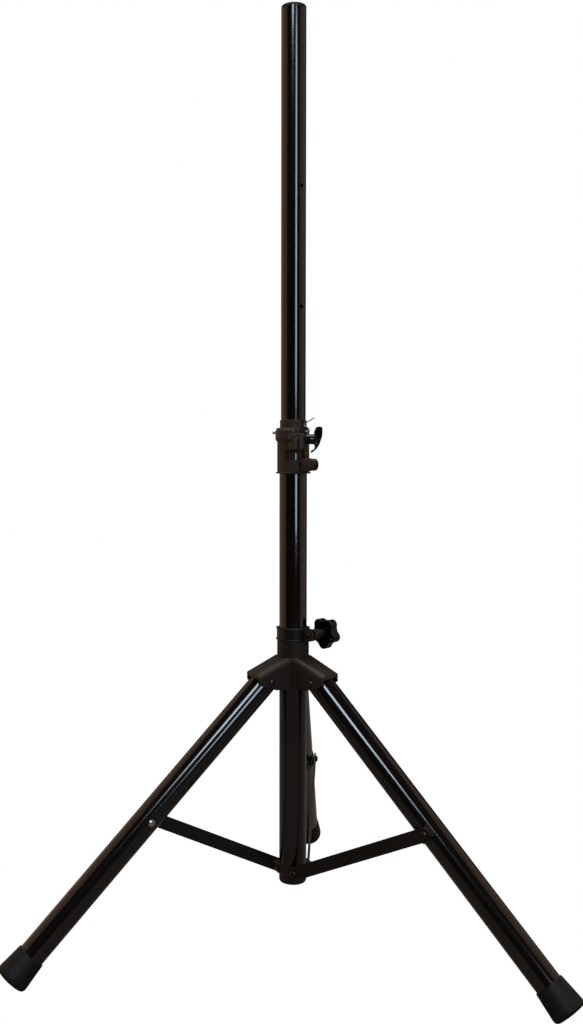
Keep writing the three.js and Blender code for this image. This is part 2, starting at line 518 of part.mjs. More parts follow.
// ---------------------------------------------------------------- legs, feet and braces
// drawn with the leg in the XZ plane at azimuth 0, then turned to the leg's azimuth
function makeLeg(name, azimuth) {
  const place = (body) => aimed(body, azimuth);
  // along the leg: z' = 0 at the hub pivot, negative towards the foot, tilted outward by the spread
  const along = (body) => body.rotate([0, -spread, 0]).translate([leg.pivotRadius, 0, pivotHeight]);

  const tubeEnd = -(leg.reach - foot.floor - fit);
  const underRoof = (r) => roofAt(r) - roofDrop - leg.underRoof;
  const [from, to, over] = [-arm.end, 2 * arm.end, 3 * arm.end];
  const roofCut = outline([[from, underRoof(from)], [to, underRoof(to)], [to, over], [from, over]]);
  const across = 2 * leg.radius;
  const shell = along(solid(tube(leg.radius, leg.wall, tubeEnd, leg.topBeyondPivot)));
  const pivotHole = solid(crossRod(bolt.hole, -across, across, leg.pivotRadius, pivotHeight));
  const braceHole = solid(crossRod(bolt.hole, -across, across, bracePivot.x, bracePivot.z));
  piece(`${name}_leg_tube`, place(cut(shell,
    solid(plate(roofCut, -across, across)).translate([0, 0, pivotHeight]), pivotHole, braceHole)), paint);

  const end = -leg.reach;
  const rim = end + foot.length;
  const cup = along(solid(turned([
    [0, end], [foot.base - foot.edge, end], [foot.base - foot.edge * 0.62, end + foot.edge * 0.08],
    [foot.base - foot.edge * 0.29, end + foot.edge * 0.29],
    [foot.base - foot.edge * 0.08, end + foot.edge * 0.62],
    [foot.base, end + foot.edge], [foot.base, end + foot.edge + 3], [foot.rim, rim - 1],
    [foot.rim - 0.6, rim], [foot.bore, rim], [foot.bore, end + foot.floor], [0, end + foot.floor],
  ])));
  const wide = 3 * foot.base;
  const belowFloor = solid(block([0, 2 * leg.reach], [-wide, wide], [-wide, 0]));
  piece(`${name}_foot`, place(cut(cup, belowFloor)), rubber);

  // saddle: a curved spacer on the leg's side, wrapped part way round its underside
  const inner = leg.radius + fit;
  const outer = inner + saddle.thickness;
  const wrap = new THREE.Shape();
  const sideAngle = -Math.PI / 2;
  wrap.absarc(0, 0, outer, sideAngle - rad(saddle.underAngle), sideAngle + rad(saddle.upAngle), false);
  wrap.absarc(0, 0, inner, sideAngle + rad(saddle.upAngle), sideAngle - rad(saddle.underAngle), true);
  const spacer = new THREE.ExtrudeGeometry(wrap, {
    depth: saddle.length, bevelEnabled: false, curveSegments: 9,
  });
  moved(spacer, 0, 0, -leg.braceAt - saddle.length / 2);
  piece(`${name}_saddle`, place(cut(along(solid(spacer)), braceHole)), plastic);

  const shankEnd = -(leg.radius + fit + saddle.thickness);
  const headSeat = leg.radius + fit;
  piece(`${name}_brace_bolt`, place(join(
    solid(crossRod(bolt.radius, shankEnd, headSeat + 1, bracePivot.x, bracePivot.z)),
    solid(boltHead(bracePivot.x, headSeat, bracePivot.z, 1)))), steel);
}

function makeBrace(name, azimuth) {
  const place = (body) => aimed(body, azimuth);
  const [near, far] = [-braceOffset - brace.thickness / 2, -braceOffset + brace.thickness / 2];
  const strip = new THREE.Shape();
  strip.absarc(0, 0, brace.halfWidth, Math.PI / 2, -Math.PI / 2, false);
  strip.absarc(braceLength, 0, brace.halfWidth, -Math.PI / 2, Math.PI / 2, false);
  strip.closePath();
  const holes = [0, braceLength].map((x) => solid(crossRod(bolt.hole, near - 5, far + 5, x, 0)));
  const bar = cut(solid(plate(strip, near, far, 8)), ...holes);
  piece(`${name}_brace`, place(bar.rotate([0, -THREE.MathUtils.radToDeg(braceAngle), 0])
    .translate([brace.fromMast, 0, braceFootHeight])), paint);

  const headSeat = near - fit;
  piece(`${name}_brace_rivet`, place(join(
    solid(crossRod(bolt.radius, headSeat - 1, far - 0.1, bracePivot.x, bracePivot.z)),
    solid(boltHead(bracePivot.x, headSeat, bracePivot.z, -1)))), blackSteel);
  piece(`${name}_foot_screw`, place(join(
    solid(crossRod(bolt.radius, headSeat - 1, far + 12, brace.fromMast, braceFootHeight)),
    solid(boltHead(brace.fromMast, headSeat, braceFootHeight, -1)))), blackSteel);
}

makePole();
makeMast();
makeCollar();
makeWingKnob();
makePin();
makeHub();
makeBandClamp();
for (const [name, azimuth] of Object.entries(legAzimuths)) {
  makeLeg(name, azimuth);
  makeBrace(name, azimuth);
}

export default stand;
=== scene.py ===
"""Tripod loudspeaker stand: black tubes, dark moulded collar and leg hub, gloss knobs and rubber feet."""

import math

import bmesh
import bpy
from mathutils import Matrix, Vector


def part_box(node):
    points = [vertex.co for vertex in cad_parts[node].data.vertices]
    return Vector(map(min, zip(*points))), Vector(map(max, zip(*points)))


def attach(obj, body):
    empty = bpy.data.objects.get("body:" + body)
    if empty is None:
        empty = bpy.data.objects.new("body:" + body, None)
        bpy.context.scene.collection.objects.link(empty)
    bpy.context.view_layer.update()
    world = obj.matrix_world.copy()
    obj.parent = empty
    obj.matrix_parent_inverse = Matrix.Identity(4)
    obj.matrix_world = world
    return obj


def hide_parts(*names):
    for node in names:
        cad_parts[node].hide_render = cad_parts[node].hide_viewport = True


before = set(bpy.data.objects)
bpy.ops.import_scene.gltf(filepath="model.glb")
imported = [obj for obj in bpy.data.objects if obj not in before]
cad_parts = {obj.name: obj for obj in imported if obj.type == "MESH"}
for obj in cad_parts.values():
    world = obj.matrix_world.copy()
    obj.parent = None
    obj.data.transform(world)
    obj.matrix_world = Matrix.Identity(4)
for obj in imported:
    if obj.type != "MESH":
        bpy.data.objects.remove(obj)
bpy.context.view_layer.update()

# ------------------------------------------------------------------ camera, floor and light
# The camera stands 1.6 m off and 0.7 m up, over a plain pale floor. A tall cool window is to its right and
# a soft box above it, dim warm walls are on either side of the stand, and a wide soft light hangs above.
MM = 0.001
PHOTO = (583, 1024)
FOCAL_PIXELS = 1110.1
PRINCIPAL_X = 228.7
CAMERA_AT = (106.7, -1576.7, 697.9)
CAMERA_YAW = 7.2
CAMERA_PITCH = -2.87
CAMERA_ROLL = -0.09
SENSOR_HEIGHT = 36.0
FLOOR_HALF = 6.0
ROOM_GLOW = 0.035


def add_camera():
    data = bpy.data.cameras.new("camera")
    data.sensor_fit = "VERTICAL"
    data.sensor_height = SENSOR_HEIGHT
    data.lens = FOCAL_PIXELS / PHOTO[1] * SENSOR_HEIGHT
    data.shift_x = (PHOTO[0] / 2 - PRINCIPAL_X) / PHOTO[1]
    camera = bpy.data.objects.new("camera", data)
    turn = Matrix.Rotation(math.radians(CAMERA_YAW), 4, "Z")
    tilt = Matrix.Rotation(math.radians(90 + CAMERA_PITCH), 4, "X")
    roll = Matrix.Rotation(math.radians(CAMERA_ROLL), 4, "Z")
    camera.matrix_world = Matrix.Translation(Vector(CAMERA_AT) * MM) @ turn @ tilt @ roll
    bpy.context.scene.collection.objects.link(camera)
    bpy.context.scene.camera = camera


def add_area_light(name, place, target, size, watts, colour, fills=True):
    """A rectangle of light; without fills it only shows as a highlight."""
    data = bpy.data.lights.new(name, "AREA")
    data.shape = "RECTANGLE"
    data.size, data.size_y = size
    data.energy = watts
    data.color = colour
    light = bpy.data.objects.new(name, data)
    light.visible_diffuse = fills
    away = Vector(target) - Vector(place)
    light.matrix_world = Matrix.Translation(place) @ away.to_track_quat("-Z", "Y").to_matrix().to_4x4()
    bpy.context.scene.collection.objects.link(light)


def split_by_ray(tree, lit, seen):
    """One shader for light rays and reflections, and another for what the camera sees directly."""
    path = tree.nodes.new("ShaderNodeLightPath")
    mix = tree.nodes.new("ShaderNodeMixShader")
    tree.links.new(path.outputs["Is Camera Ray"], mix.inputs[0])
    tree.links.new(lit, mix.inputs[1])
    tree.links.new(seen, mix.inputs[2])
    return mix.outputs[0]


def add_room():
    world = bpy.data.worlds.new("room")
    world.use_nodes = True
    bpy.context.scene.world = world
    tree = world.node_tree
    tree.nodes.clear()
    seen = tree.nodes.new("ShaderNodeBackground")
    seen.inputs["Color"].default_value = (1, 1, 1, 1)
    lit = tree.nodes.new("ShaderNodeBackground")
    lit.inputs["Color"].default_value = (1.0, 0.88, 0.8, 1)
    lit.inputs["Strength"].default_value = ROOM_GLOW
    out = tree.nodes.new("ShaderNodeOutputWorld")
    tree.links.new(split_by_ray(tree, lit.outputs[0], seen.outputs[0]), out.inputs["Surface"])

    mesh = bpy.data.meshes.new("floor")
    half = FLOOR_HALF
    corners = [(-half, -half, 0), (half, -half, 0), (half, half, 0), (-half, half, 0)]
    mesh.from_pydata(corners, [], [(0, 1, 2, 3)])
    floor = bpy.data.objects.new("floor", mesh)
    bpy.context.scene.collection.objects.link(floor)
    pale = bpy.data.materials.new("pale_floor")
    pale.use_nodes = True
    tree = pale.node_tree
    shader = tree.nodes["Principled BSDF"]
    shader.inputs["Base Color"].default_value = (0.24, 0.22, 0.21, 1)
    shader.inputs["Roughness"].default_value = 0.9
    bright = tree.nodes.new("ShaderNodeEmission")
    bright.inputs["Color"].default_value = (1, 1, 1, 1)
    out = tree.nodes["Material Output"]
    tree.links.new(split_by_ray(tree, shader.outputs[0], bright.outputs[0]), out.inputs["Surface"])
    mesh.materials.append(pale)


bpy.context.scene.view_settings.view_transform = "Standard"
add_camera()
add_room()
add_area_light("window", (2.88, -5.26, 2.32), (0, 0, 0.95), (1.35, 2.5), 88, (0.66, 0.8, 1.0), False)
add_area_light("soft_box", (-0.3, -4.0, 3.5), (0, 0, 0.3), (1.2, 1.3), 60, (0.72, 0.85, 1.0), False)
add_area_light("left_wall", (-1.9, 0.3, 1.0), (0, 0, 0.7), (3.2, 2.4), 11, (1.0, 0.64, 0.44))
add_area_light("right_wall", (2.0, 0.2, 1.0), (0, 0, 0.7), (2.6, 2.4), 7, (1.0, 0.72, 0.56))
add_area_light("ceiling", (0.1, 0.1, 3.3), (0, 0, 0.4), (2.2, 2.2), 66, (1.0, 0.95, 0.88))

# ------------------------------------------------------------------ upper pole
# A 35 mm steel tube, powder coated gloss black. Four pairs of holes are drilled across it for the locking
# pin, and a moulded plug closes its top. A moulded sleeve on the lower end guides it inside the mast.
POLE = {"radius": 17.5, "wall": 1.5, "hole": 2.75, "end_round": 0.5}
PIN_AZIMUTH = -46
PIN_HEIGHT = 732.0
HOLE_DROPS = (249, 416, 591, 758)
POLE_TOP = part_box("pole_cap")[1].z / MM
PLUG = {"rim": 3.0, "spigot": 14.0, "edge": 1.6}
GUIDE = {"radius": 17.6, "flange": 4.0}
FIT = 0.3


def rounded(corners, steps=5):
    """Points of an outline, with an arc at each corner that is given as (x, y, radius)."""
    points = []
    count = len(corners)
    for i, corner in enumerate(corners):
        here = Vector(corner[:2])
        radius = corner[2] if len(corner) > 2 else 0
        if not radius:
            points.append(tuple(here))
            continue
        back = (Vector(corners[i - 1][:2]) - here).normalized()
        ahead = (Vector(corners[(i + 1) % count][:2]) - here).normalized()
        half = back.angle(ahead) / 2
        reach = radius / math.tan(half)
        centre = here + (back + ahead).normalized() * radius / math.sin(half)
        start = here + back * reach - centre
        sweep = start.angle_signed(here + ahead * reach - centre)
        for k in range(steps + 1):
            turned = start.copy()
            turned.rotate(Matrix.Rotation(-sweep * k / steps, 2))
            points.append(tuple(centre + turned))
    return points


def piece_from(name, bm, sharp=32):
    """A finished object from mesh data in millimetres, smooth but for its sharp edges."""
    bmesh.ops.remove_doubles(bm, verts=bm.verts, dist=1e-4)
    bmesh.ops.recalc_face_normals(bm, faces=bm.faces)
    bm.transform(Matrix.Scale(MM, 4))
    mesh = bpy.data.meshes.new(name)
    bm.to_mesh(mesh)
    bm.free()
    mesh.shade_smooth()
    mesh.set_sharp_from_angle(angle=math.radians(sharp))
    piece = bpy.data.objects.new(name, mesh)
    bpy.context.scene.collection.objects.link(piece)
    return piece


def turned(name, profile, sides=96):
    """A shape of revolution round Z, from a closed profile of (radius, height) points."""
    bm = bmesh.new()
    rings = []
    for radius, height in profile:
        if radius < 1e-6:
            rings.append([bm.verts.new((0, 0, height))] * sides)
            continue
        angles = [2 * math.pi * k / sides for k in range(sides)]
        rings.append([bm.verts.new((radius * math.cos(a), radius * math.sin(a), height)) for a in angles])
    for low, high in zip(rings, rings[1:] + rings[:1]):
        for k in range(sides):
            corners = [low[k], low[(k + 1) % sides], high[(k + 1) % sides], high[k]]
            unique = [v for n, v in enumerate(corners) if v not in corners[:n]]
            if len(unique) > 2:
                bm.faces.new(unique)
    return piece_from(name, bm)


def tube(name, radius, wall, low, high, end_round=0.4, sides=96):
    profile = [(radius, low, end_round), (radius, high, end_round)]
    profile += [(radius - wall, high, end_round), (radius - wall, low, end_round)]
    return turned(name, rounded(profile, 3), sides)


def rod(name, radius, low, high, sides=48, edge=0.0):
    profile = rounded([(0, low), (radius, low, edge), (radius, high, edge), (0, high)], 3)
    return turned(name, profile, sides)


def turn_to(piece, azimuth=0, about="Z", centre=(0, 0, 0)):
    """Turns the mesh itself by degrees about an axis through a point in millimetres."""
    place = Matrix.Translation(Vector(centre) * MM)
    spin = Matrix.Rotation(math.radians(azimuth), 4, about)
    piece.data.transform(place @ spin @ place.inverted())
    return piece


def shift(piece, x=0, y=0, z=0):
    piece.data.transform(Matrix.Translation(Vector((x, y, z)) * MM))
    return piece


def settle(piece):
    """Applies the piece's modifiers."""
    bpy.context.view_layer.update()
    graph = bpy.context.evaluated_depsgraph_get()
    mesh = bpy.data.meshes.new_from_object(piece.evaluated_get(graph))
    old = piece.data
    piece.modifiers.clear()
    piece.data = mesh
    bpy.data.meshes.remove(old)
    return piece


def worked(piece, tools, operation):
    """Joins the tools to a piece or cuts them from it, and takes them away."""
    for tool in tools:
        step = piece.modifiers.new("work", "BOOLEAN")
        step.operation = operation
        step.solver = "EXACT"
        step.object = tool
        settle(piece)
        bpy.data.objects.remove(tool)
    return piece


def cut(piece, *tools):
    return worked(piece, tools, "DIFFERENCE")


def fuse(piece, *tools):
    return worked(piece, tools, "UNION")


def soften(piece, width=0.5, segments=3, angle=34, sharp=40):
    """Breaks the sharp edges, as deburring or a mould's own corners do."""
    clean = bmesh.new()
    clean.from_mesh(piece.data)
    bmesh.ops.remove_doubles(clean, verts=clean.verts, dist=0.02 * MM)
    bmesh.ops.dissolve_limit(clean, angle_limit=math.radians(0.5), verts=clean.verts, edges=clean.edges)
    clean.to_mesh(piece.data)
    clean.free()
    step = piece.modifiers.new("edges", "BEVEL")
    step.width = width * MM
    step.segments = segments
    step.limit_method = "ANGLE"
    step.angle_limit = math.radians(angle)
    step.use_clamp_overlap = True
    settle(piece)
    piece.data.shade_smooth()
    piece.data.set_sharp_from_angle(angle=math.radians(sharp))
    flat = piece.modifiers.new("flat_faces", "WEIGHTED_NORMAL")
    flat.keep_sharp = True
    flat.weight = 80
    return settle(piece)


def shader_group(name, inputs, outputs):
    group = bpy.data.node_groups.new(name, "ShaderNodeTree")
    for label, default in inputs.items():
        socket = group.interface.new_socket(name=label, in_out="INPUT", socket_type="NodeSocketFloat")
        socket.default_value = default
    for label in outputs:
        group.interface.new_socket(name=label, in_out="OUTPUT", socket_type="NodeSocketFloat")
    return group, group.nodes.new("NodeGroupInput"), group.nodes.new("NodeGroupOutput")


def noise(tree, coordinates, scale, detail=3.0, roughness=0.5):
    node = tree.nodes.new("ShaderNodeTexNoise")
    node.inputs["Detail"].default_value = detail
    node.inputs["Roughness"].default_value = roughness
    if isinstance(scale, (int, float)):
        node.inputs["Scale"].default_value = scale
    else:
        tree.links.new(scale, node.inputs["Scale"])
    tree.links.new(coordinates, node.inputs["Vector"])
    return node.outputs["Fac"]


def ranged(tree, value, low, high, to_low=0.0, to_high=1.0):
    node = tree.nodes.new("ShaderNodeMapRange")
    node.inputs["From Min"].default_value = low
    node.inputs["From Max"].default_value = high
    node.inputs["To Min"].default_value = to_low
    node.inputs["To Max"].default_value = to_high
    tree.links.new(value, node.inputs["Value"])
    return node.outputs["Result"]


def reckon(tree, operation, first, second):
    node = tree.nodes.new("ShaderNodeMath")
    node.operation = operation
    for value, socket in zip((first, second), node.inputs):
        if isinstance(value, (int, float)):
            socket.default_value = value
        else:
            tree.links.new(value, socket)
    return node.outputs[0]


def make_orange_peel():
    """The fine waviness of a sprayed and baked coat, as a height."""
    group, given, put = shader_group("orange_peel", {"Waves per metre": 700.0}, ["Height"])
    place = group.nodes.new("ShaderNodeTexCoord").outputs["Object"]
    wave = noise(group, place, given.outputs["Waves per metre"], 1.5, 0.4)
    group.links.new(wave, put.inputs["Height"])
    return group


def make_handling_marks():
    """Where hands and storage have dulled a surface: broad smears, specks of dust and thin scuffs."""
    group, given, put = shader_group("handling_marks", {"Amount": 0.5}, ["Smear", "Dust", "Scuff"])
    place = group.nodes.new("ShaderNodeTexCoord").outputs["Object"]
    smear = ranged(group, noise(group, place, 22.0, 5.0, 0.62), 0.42, 0.68)
    dust = ranged(group, noise(group, place, 1500.0, 2.0, 0.6), 0.66, 0.78)
    stretch = group.nodes.new("ShaderNodeMapping")
    stretch.inputs["Scale"].default_value = (1.0, 1.0, 0.06)
    stretch.inputs["Rotation"].default_value = (0.4, 0.25, 0.0)
    group.links.new(place, stretch.inputs["Vector"])
    scuff = ranged(group, noise(group, stretch.outputs[0], 900.0, 3.0, 0.55), 0.68, 0.76)
    patches = ranged(group, noise(group, place, 9.0, 2.0, 0.5), 0.5, 0.66)
    amount = given.outputs["Amount"]
    group.links.new(reckon(group, "MULTIPLY", smear, amount), put.inputs["Smear"])
    group.links.new(reckon(group, "MULTIPLY", dust, amount), put.inputs["Dust"])
    worn = reckon(group, "MULTIPLY", scuff, patches)
    group.links.new(reckon(group, "MULTIPLY", worn, amount), put.inputs["Scuff"])
    return group


ORANGE_PEEL = make_orange_peel()
HANDLING = make_handling_marks()


def placed_group(tree, group, **values):
    node = tree.nodes.new("ShaderNodeGroup")
    node.node_tree = group
    for label, value in values.items():
        node.inputs[label.replace("_", " ")].default_value = value
    return node


def blended(tree, mask, below, above):
    """One colour below, another above, mixed by a mask."""
    node = tree.nodes.new("ShaderNodeMix")
    node.data_type = "RGBA"
    node.inputs["A"].default_value = (*below, 1)
    node.inputs["B"].default_value = (*above, 1)
    tree.links.new(mask, node.inputs["Factor"])
    return node.outputs["Result"]


def relief(tree, height, strength, depth):
    node = tree.nodes.new("ShaderNodeBump")
    node.inputs["Strength"].default_value = strength
    node.inputs["Distance"].default_value = depth * MM
    tree.links.new(height, node.inputs["Height"])
    return node.outputs["Normal"]


def new_material(name):
    material = bpy.data.materials.new(name)
    material.use_nodes = True
    return material, material.node_tree, material.node_tree.nodes["Principled BSDF"]


def powder_coat(name, colour, dusty, gloss, dull, coat, wear=0.5, peel=0.12, sheen=0.5):
    material, tree, shader = new_material(name)
    marks = placed_group(tree, HANDLING, Amount=wear)
    peel_height = placed_group(tree, ORANGE_PEEL).outputs["Height"]
    tree.links.new(blended(tree, marks.outputs["Dust"], colour, dusty), shader.inputs["Base Color"])
    dulled = reckon(tree, "MAXIMUM", marks.outputs["Smear"], marks.outputs["Scuff"])
    tree.links.new(ranged(tree, dulled, 0, 1, gloss, dull), shader.inputs["Roughness"])
    tree.links.new(relief(tree, peel_height, peel, 0.05), shader.inputs["Normal"])
    shader.inputs["Coat Weight"].default_value = coat
    shader.inputs["Coat Roughness"].default_value = 0.08
    shader.inputs["Specular IOR Level"].default_value = sheen
    return material


TUBE_PAINT = powder_coat("gloss_black_powder_coat", (0.0055, 0.0038, 0.0032), (0.02, 0.017, 0.016),
                         0.12, 0.19, 0.35, 0.4, 0.02)


def fitted(piece, node, body, material):
    """Gives a piece its finish and puts it in the place of its solid, on the body that carries it."""
    piece.data.materials.clear()
    piece.data.materials.append(material)
    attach(piece, body)
    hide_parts(node)
    return piece


def make_upper_pole():
    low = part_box("pole_tube")[0].z / MM
    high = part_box("pole_tube")[1].z / MM
    piece = tube("upper_pole", POLE["radius"], POLE["wall"], low, high, POLE["end_round"])
    drills = []
    for drop in HOLE_DROPS:
        drill = turn_to(rod("drill", POLE["hole"], -40, 40, 40), 90, "Y")
        drills.append(turn_to(shift(drill, z=POLE_TOP - drop), PIN_AZIMUTH))
    cut(piece, *drills)
    return soften(piece, 0.25, 2, 50, 35)


fitted(make_upper_pole(), "pole_tube", "pole", TUBE_PAINT)


def make_mould_grain():
    """The fine pebbled skin and slow colour drift of a moulded plastic or rubber part."""
    group, given, put = shader_group("mould_grain", {"Grains per metre": 1400.0}, ["Height", "Drift"])
    place = group.nodes.new("ShaderNodeTexCoord").outputs["Object"]
    cells = group.nodes.new("ShaderNodeTexVoronoi")
    group.links.new(place, cells.inputs["Vector"])
    group.links.new(given.outputs["Grains per metre"], cells.inputs["Scale"])
    fine = noise(group, place, 3000.0, 2.0, 0.6)
    group.links.new(reckon(group, "ADD", cells.outputs["Distance"], fine), put.inputs["Height"])
    group.links.new(ranged(group, noise(group, place, 30.0, 4.0, 0.6), 0.35, 0.7), put.inputs["Drift"])
    return group


MOULD_GRAIN = make_mould_grain()


def moulded(name, colour, drifted, gloss, dull, grain=0.25, wear=0.4, size=1400.0, sheen=0.3):
    material, tree, shader = new_material(name)
    skin = placed_group(tree, MOULD_GRAIN, Grains_per_metre=size)
    marks = placed_group(tree, HANDLING, Amount=wear)
    mask = reckon(tree, "MAXIMUM", skin.outputs["Drift"], marks.outputs["Dust"])
    tree.links.new(blended(tree, mask, colour, drifted), shader.inputs["Base Color"])
    tree.links.new(ranged(tree, marks.outputs["Smear"], 0, 1, gloss, dull), shader.inputs["Roughness"])
    tree.links.new(relief(tree, skin.outputs["Height"], grain, 0.06), shader.inputs["Normal"])
    shader.inputs["Specular IOR Level"].default_value = sheen
    return material


MOULDING = moulded("dark_moulded_nylon", (0.031, 0.023, 0.017), (0.040, 0.031, 0.024), 0.5, 0.66)


def make_pole_plug():
    inside = POLE["radius"] - POLE["wall"] - FIT
    seat = POLE_TOP - PLUG["rim"]
    low = seat - FIT - PLUG["spigot"]
    profile = [(0, low), (inside, low, 0.8), (inside, seat), (POLE["radius"], seat, 0.2)]
    profile += [(POLE["radius"], POLE_TOP, PLUG["edge"]), (0, POLE_TOP)]
    return turned("pole_plug", rounded(profile, 6))


def make_guide_sleeve():
    low, high = [corner.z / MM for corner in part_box("pole_guide")]
    inside = POLE["radius"] - POLE["wall"] - FIT
    rim, flange = GUIDE["radius"], low + GUIDE["flange"]
    profile = [(0, low), (rim, low, 0.8), (rim, flange, 0.3), (inside, flange), (inside, high, 1.5),
               (0, high)]
    return turned("guide_sleeve", rounded(profile, 4))


fitted(make_pole_plug(), "pole_cap", "pole", MOULDING)
fitted(make_guide_sleeve(), "pole_guide", "pole", MOULDING)

# ------------------------------------------------------------------ mast and its shoe
# The mast is a 39 mm steel tube with the same gloss black coat. A moulded shoe closes its lower end and
# has three lugs, one beside each leg, to which the braces are screwed.
MAST = {"radius": 19.5, "wall": 1.6}
SHOE = {"radius": 19.6, "edge": 4.0, "height": 27.2, "spigot": 24.0}
LUG = {"inner": 6.0, "reach": 23.0, "low": 12.5, "high": 27.0, "corner": 4.0, "depth": 16.0}
LEGS = {"rear": 90, "left": 210, "right": 330}
BRACE_FOOT = (16.5, 104.5)
BRACE_SIDE = 21.35
BRACE = {"half_width": 9.4, "thickness": 2.5}
HOLE = 2.85


def swept(name, outline, run):
    """A flat outline, carried along a straight run."""
    bm = bmesh.new()
    face = bm.faces.new([bm.verts.new(point) for point in outline])
    made = bmesh.ops.extrude_face_region(bm, geom=[face])["geom"]
    moved = [v for v in made if isinstance(v, bmesh.types.BMVert)]
    bmesh.ops.translate(bm, verts=moved, vec=run)
    return piece_from(name, bm)


def prism(name, outline, near, far):
    """An outline in X and Z, given thickness along Y."""
    return swept(name, [(x, near, z) for x, z in outline], (0, far - near, 0))


def cross_rod(name, radius, near, far, x, z, sides=40, edge=0.0):
    """A round bar along Y."""
    return shift(turn_to(rod(name, radius, near, far, sides, edge), -90, "X"), x=x, z=z)


def make_mast():
    low, high = [corner.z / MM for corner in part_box("mast_tube")]
    return tube("lower_mast", MAST["radius"], MAST["wall"], low, high, 0.5)


def make_shoe():
    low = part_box("mast_foot")[0].z / MM
    top = low + SHOE["height"]
    inside = MAST["radius"] - MAST["wall"] - FIT
    profile = [(0, low), (SHOE["radius"], low, SHOE["edge"]), (SHOE["radius"], top, 0.4)]
    profile += [(inside, top), (inside, top + SHOE["spigot"], 1.5), (0, top + SHOE["spigot"])]
    piece = turned("mast_shoe", rounded(profile, 8))
    face = -(BRACE_SIDE - BRACE["thickness"] / 2 - FIT)
    bottom, upper, corner = low + LUG["low"], low + LUG["high"], LUG["corner"]
    outline = rounded([(LUG["inner"], bottom), (LUG["reach"], bottom, corner), (LUG["reach"], upper, corner),
                       (LUG["inner"], upper)])
    for azimuth in LEGS.values():
        fuse(piece, turn_to(prism("lug", outline, face, face + LUG["depth"]), azimuth))
    for azimuth in LEGS.values():
        drill = cross_rod("drill", HOLE, face - 2, face + LUG["depth"] - 2, *BRACE_FOOT)
        cut(piece, turn_to(drill, azimuth))
    return soften(piece, 0.6, 3)


fitted(make_mast(), "mast_tube", "mast", TUBE_PAINT)
fitted(make_shoe(), "mast_foot", "mast", MOULDING)

# ------------------------------------------------------------------ collar on the mast's top
# A moulded nylon collar. A block on its front is split by a slit, and the wing knob draws its two halves
# together on the pole. A bolt in a round barrel lower down holds the collar on the mast, and a thin bush
# inside it guides the pole.
COLLAR = {"bore": 19.8, "radius": 22.8, "lip": 25.0, "lip_thickness": 2.6, "foot": 673.5, "top": 738.0}
BULGE = {"radius": 25.3, "height": 17.0, "from": 95, "to": 265}
EARS = {"azimuth": -76, "half": 11.0, "slit": 2.0, "reach": 39.5, "low": 707.0, "top": 729.0, "corner": 5.5,
        "edge": 1.4, "slit_foot": 692.5}
HOLLOW = {"from": -114, "to": -42, "low": 693.5, "high": 707.0, "floor": 20.3}
WING_AXIS = (33.2, 721.5)
FIXING = {"azimuth": -58, "axis": 25.5, "height": 686.0, "barrel": 9.2, "start": -2.5, "end": 15.0,
          "head": 8.5, "head_end": 22.8, "shank": 3.0, "dimple": 2.1}
BUSH = {"inner": 17.8, "seat": 19.5, "neck": 18.9, "top": 749.0}
BOSS = {"half": 6, "rear": 30.5, "front": 25.4}
STUD = {"radius": 2.5, "hole": 2.8, "head": 4.0, "head_height": 2.2}
NOTCH_HALF = 2.73


def slab(name, outline, low, high):
    """An outline in X and Y, given thickness along Z."""
    return swept(name, [(x, y, low) for x, y in outline], (0, 0, high - low))


def block(name, x, y, z):
    return prism(name, [(x[0], z[0]), (x[1], z[0]), (x[1], z[1]), (x[0], z[1])], y[0], y[1])


def sector(name, start, end, low, high, reach=60):
    steps = 24
    angles = [math.radians(start + (end - start) * k / steps) for k in range(steps + 1)]
    return slab(name, [(0.0, 0.0)] + [(reach * math.cos(a), reach * math.sin(a)) for a in angles], low, high)


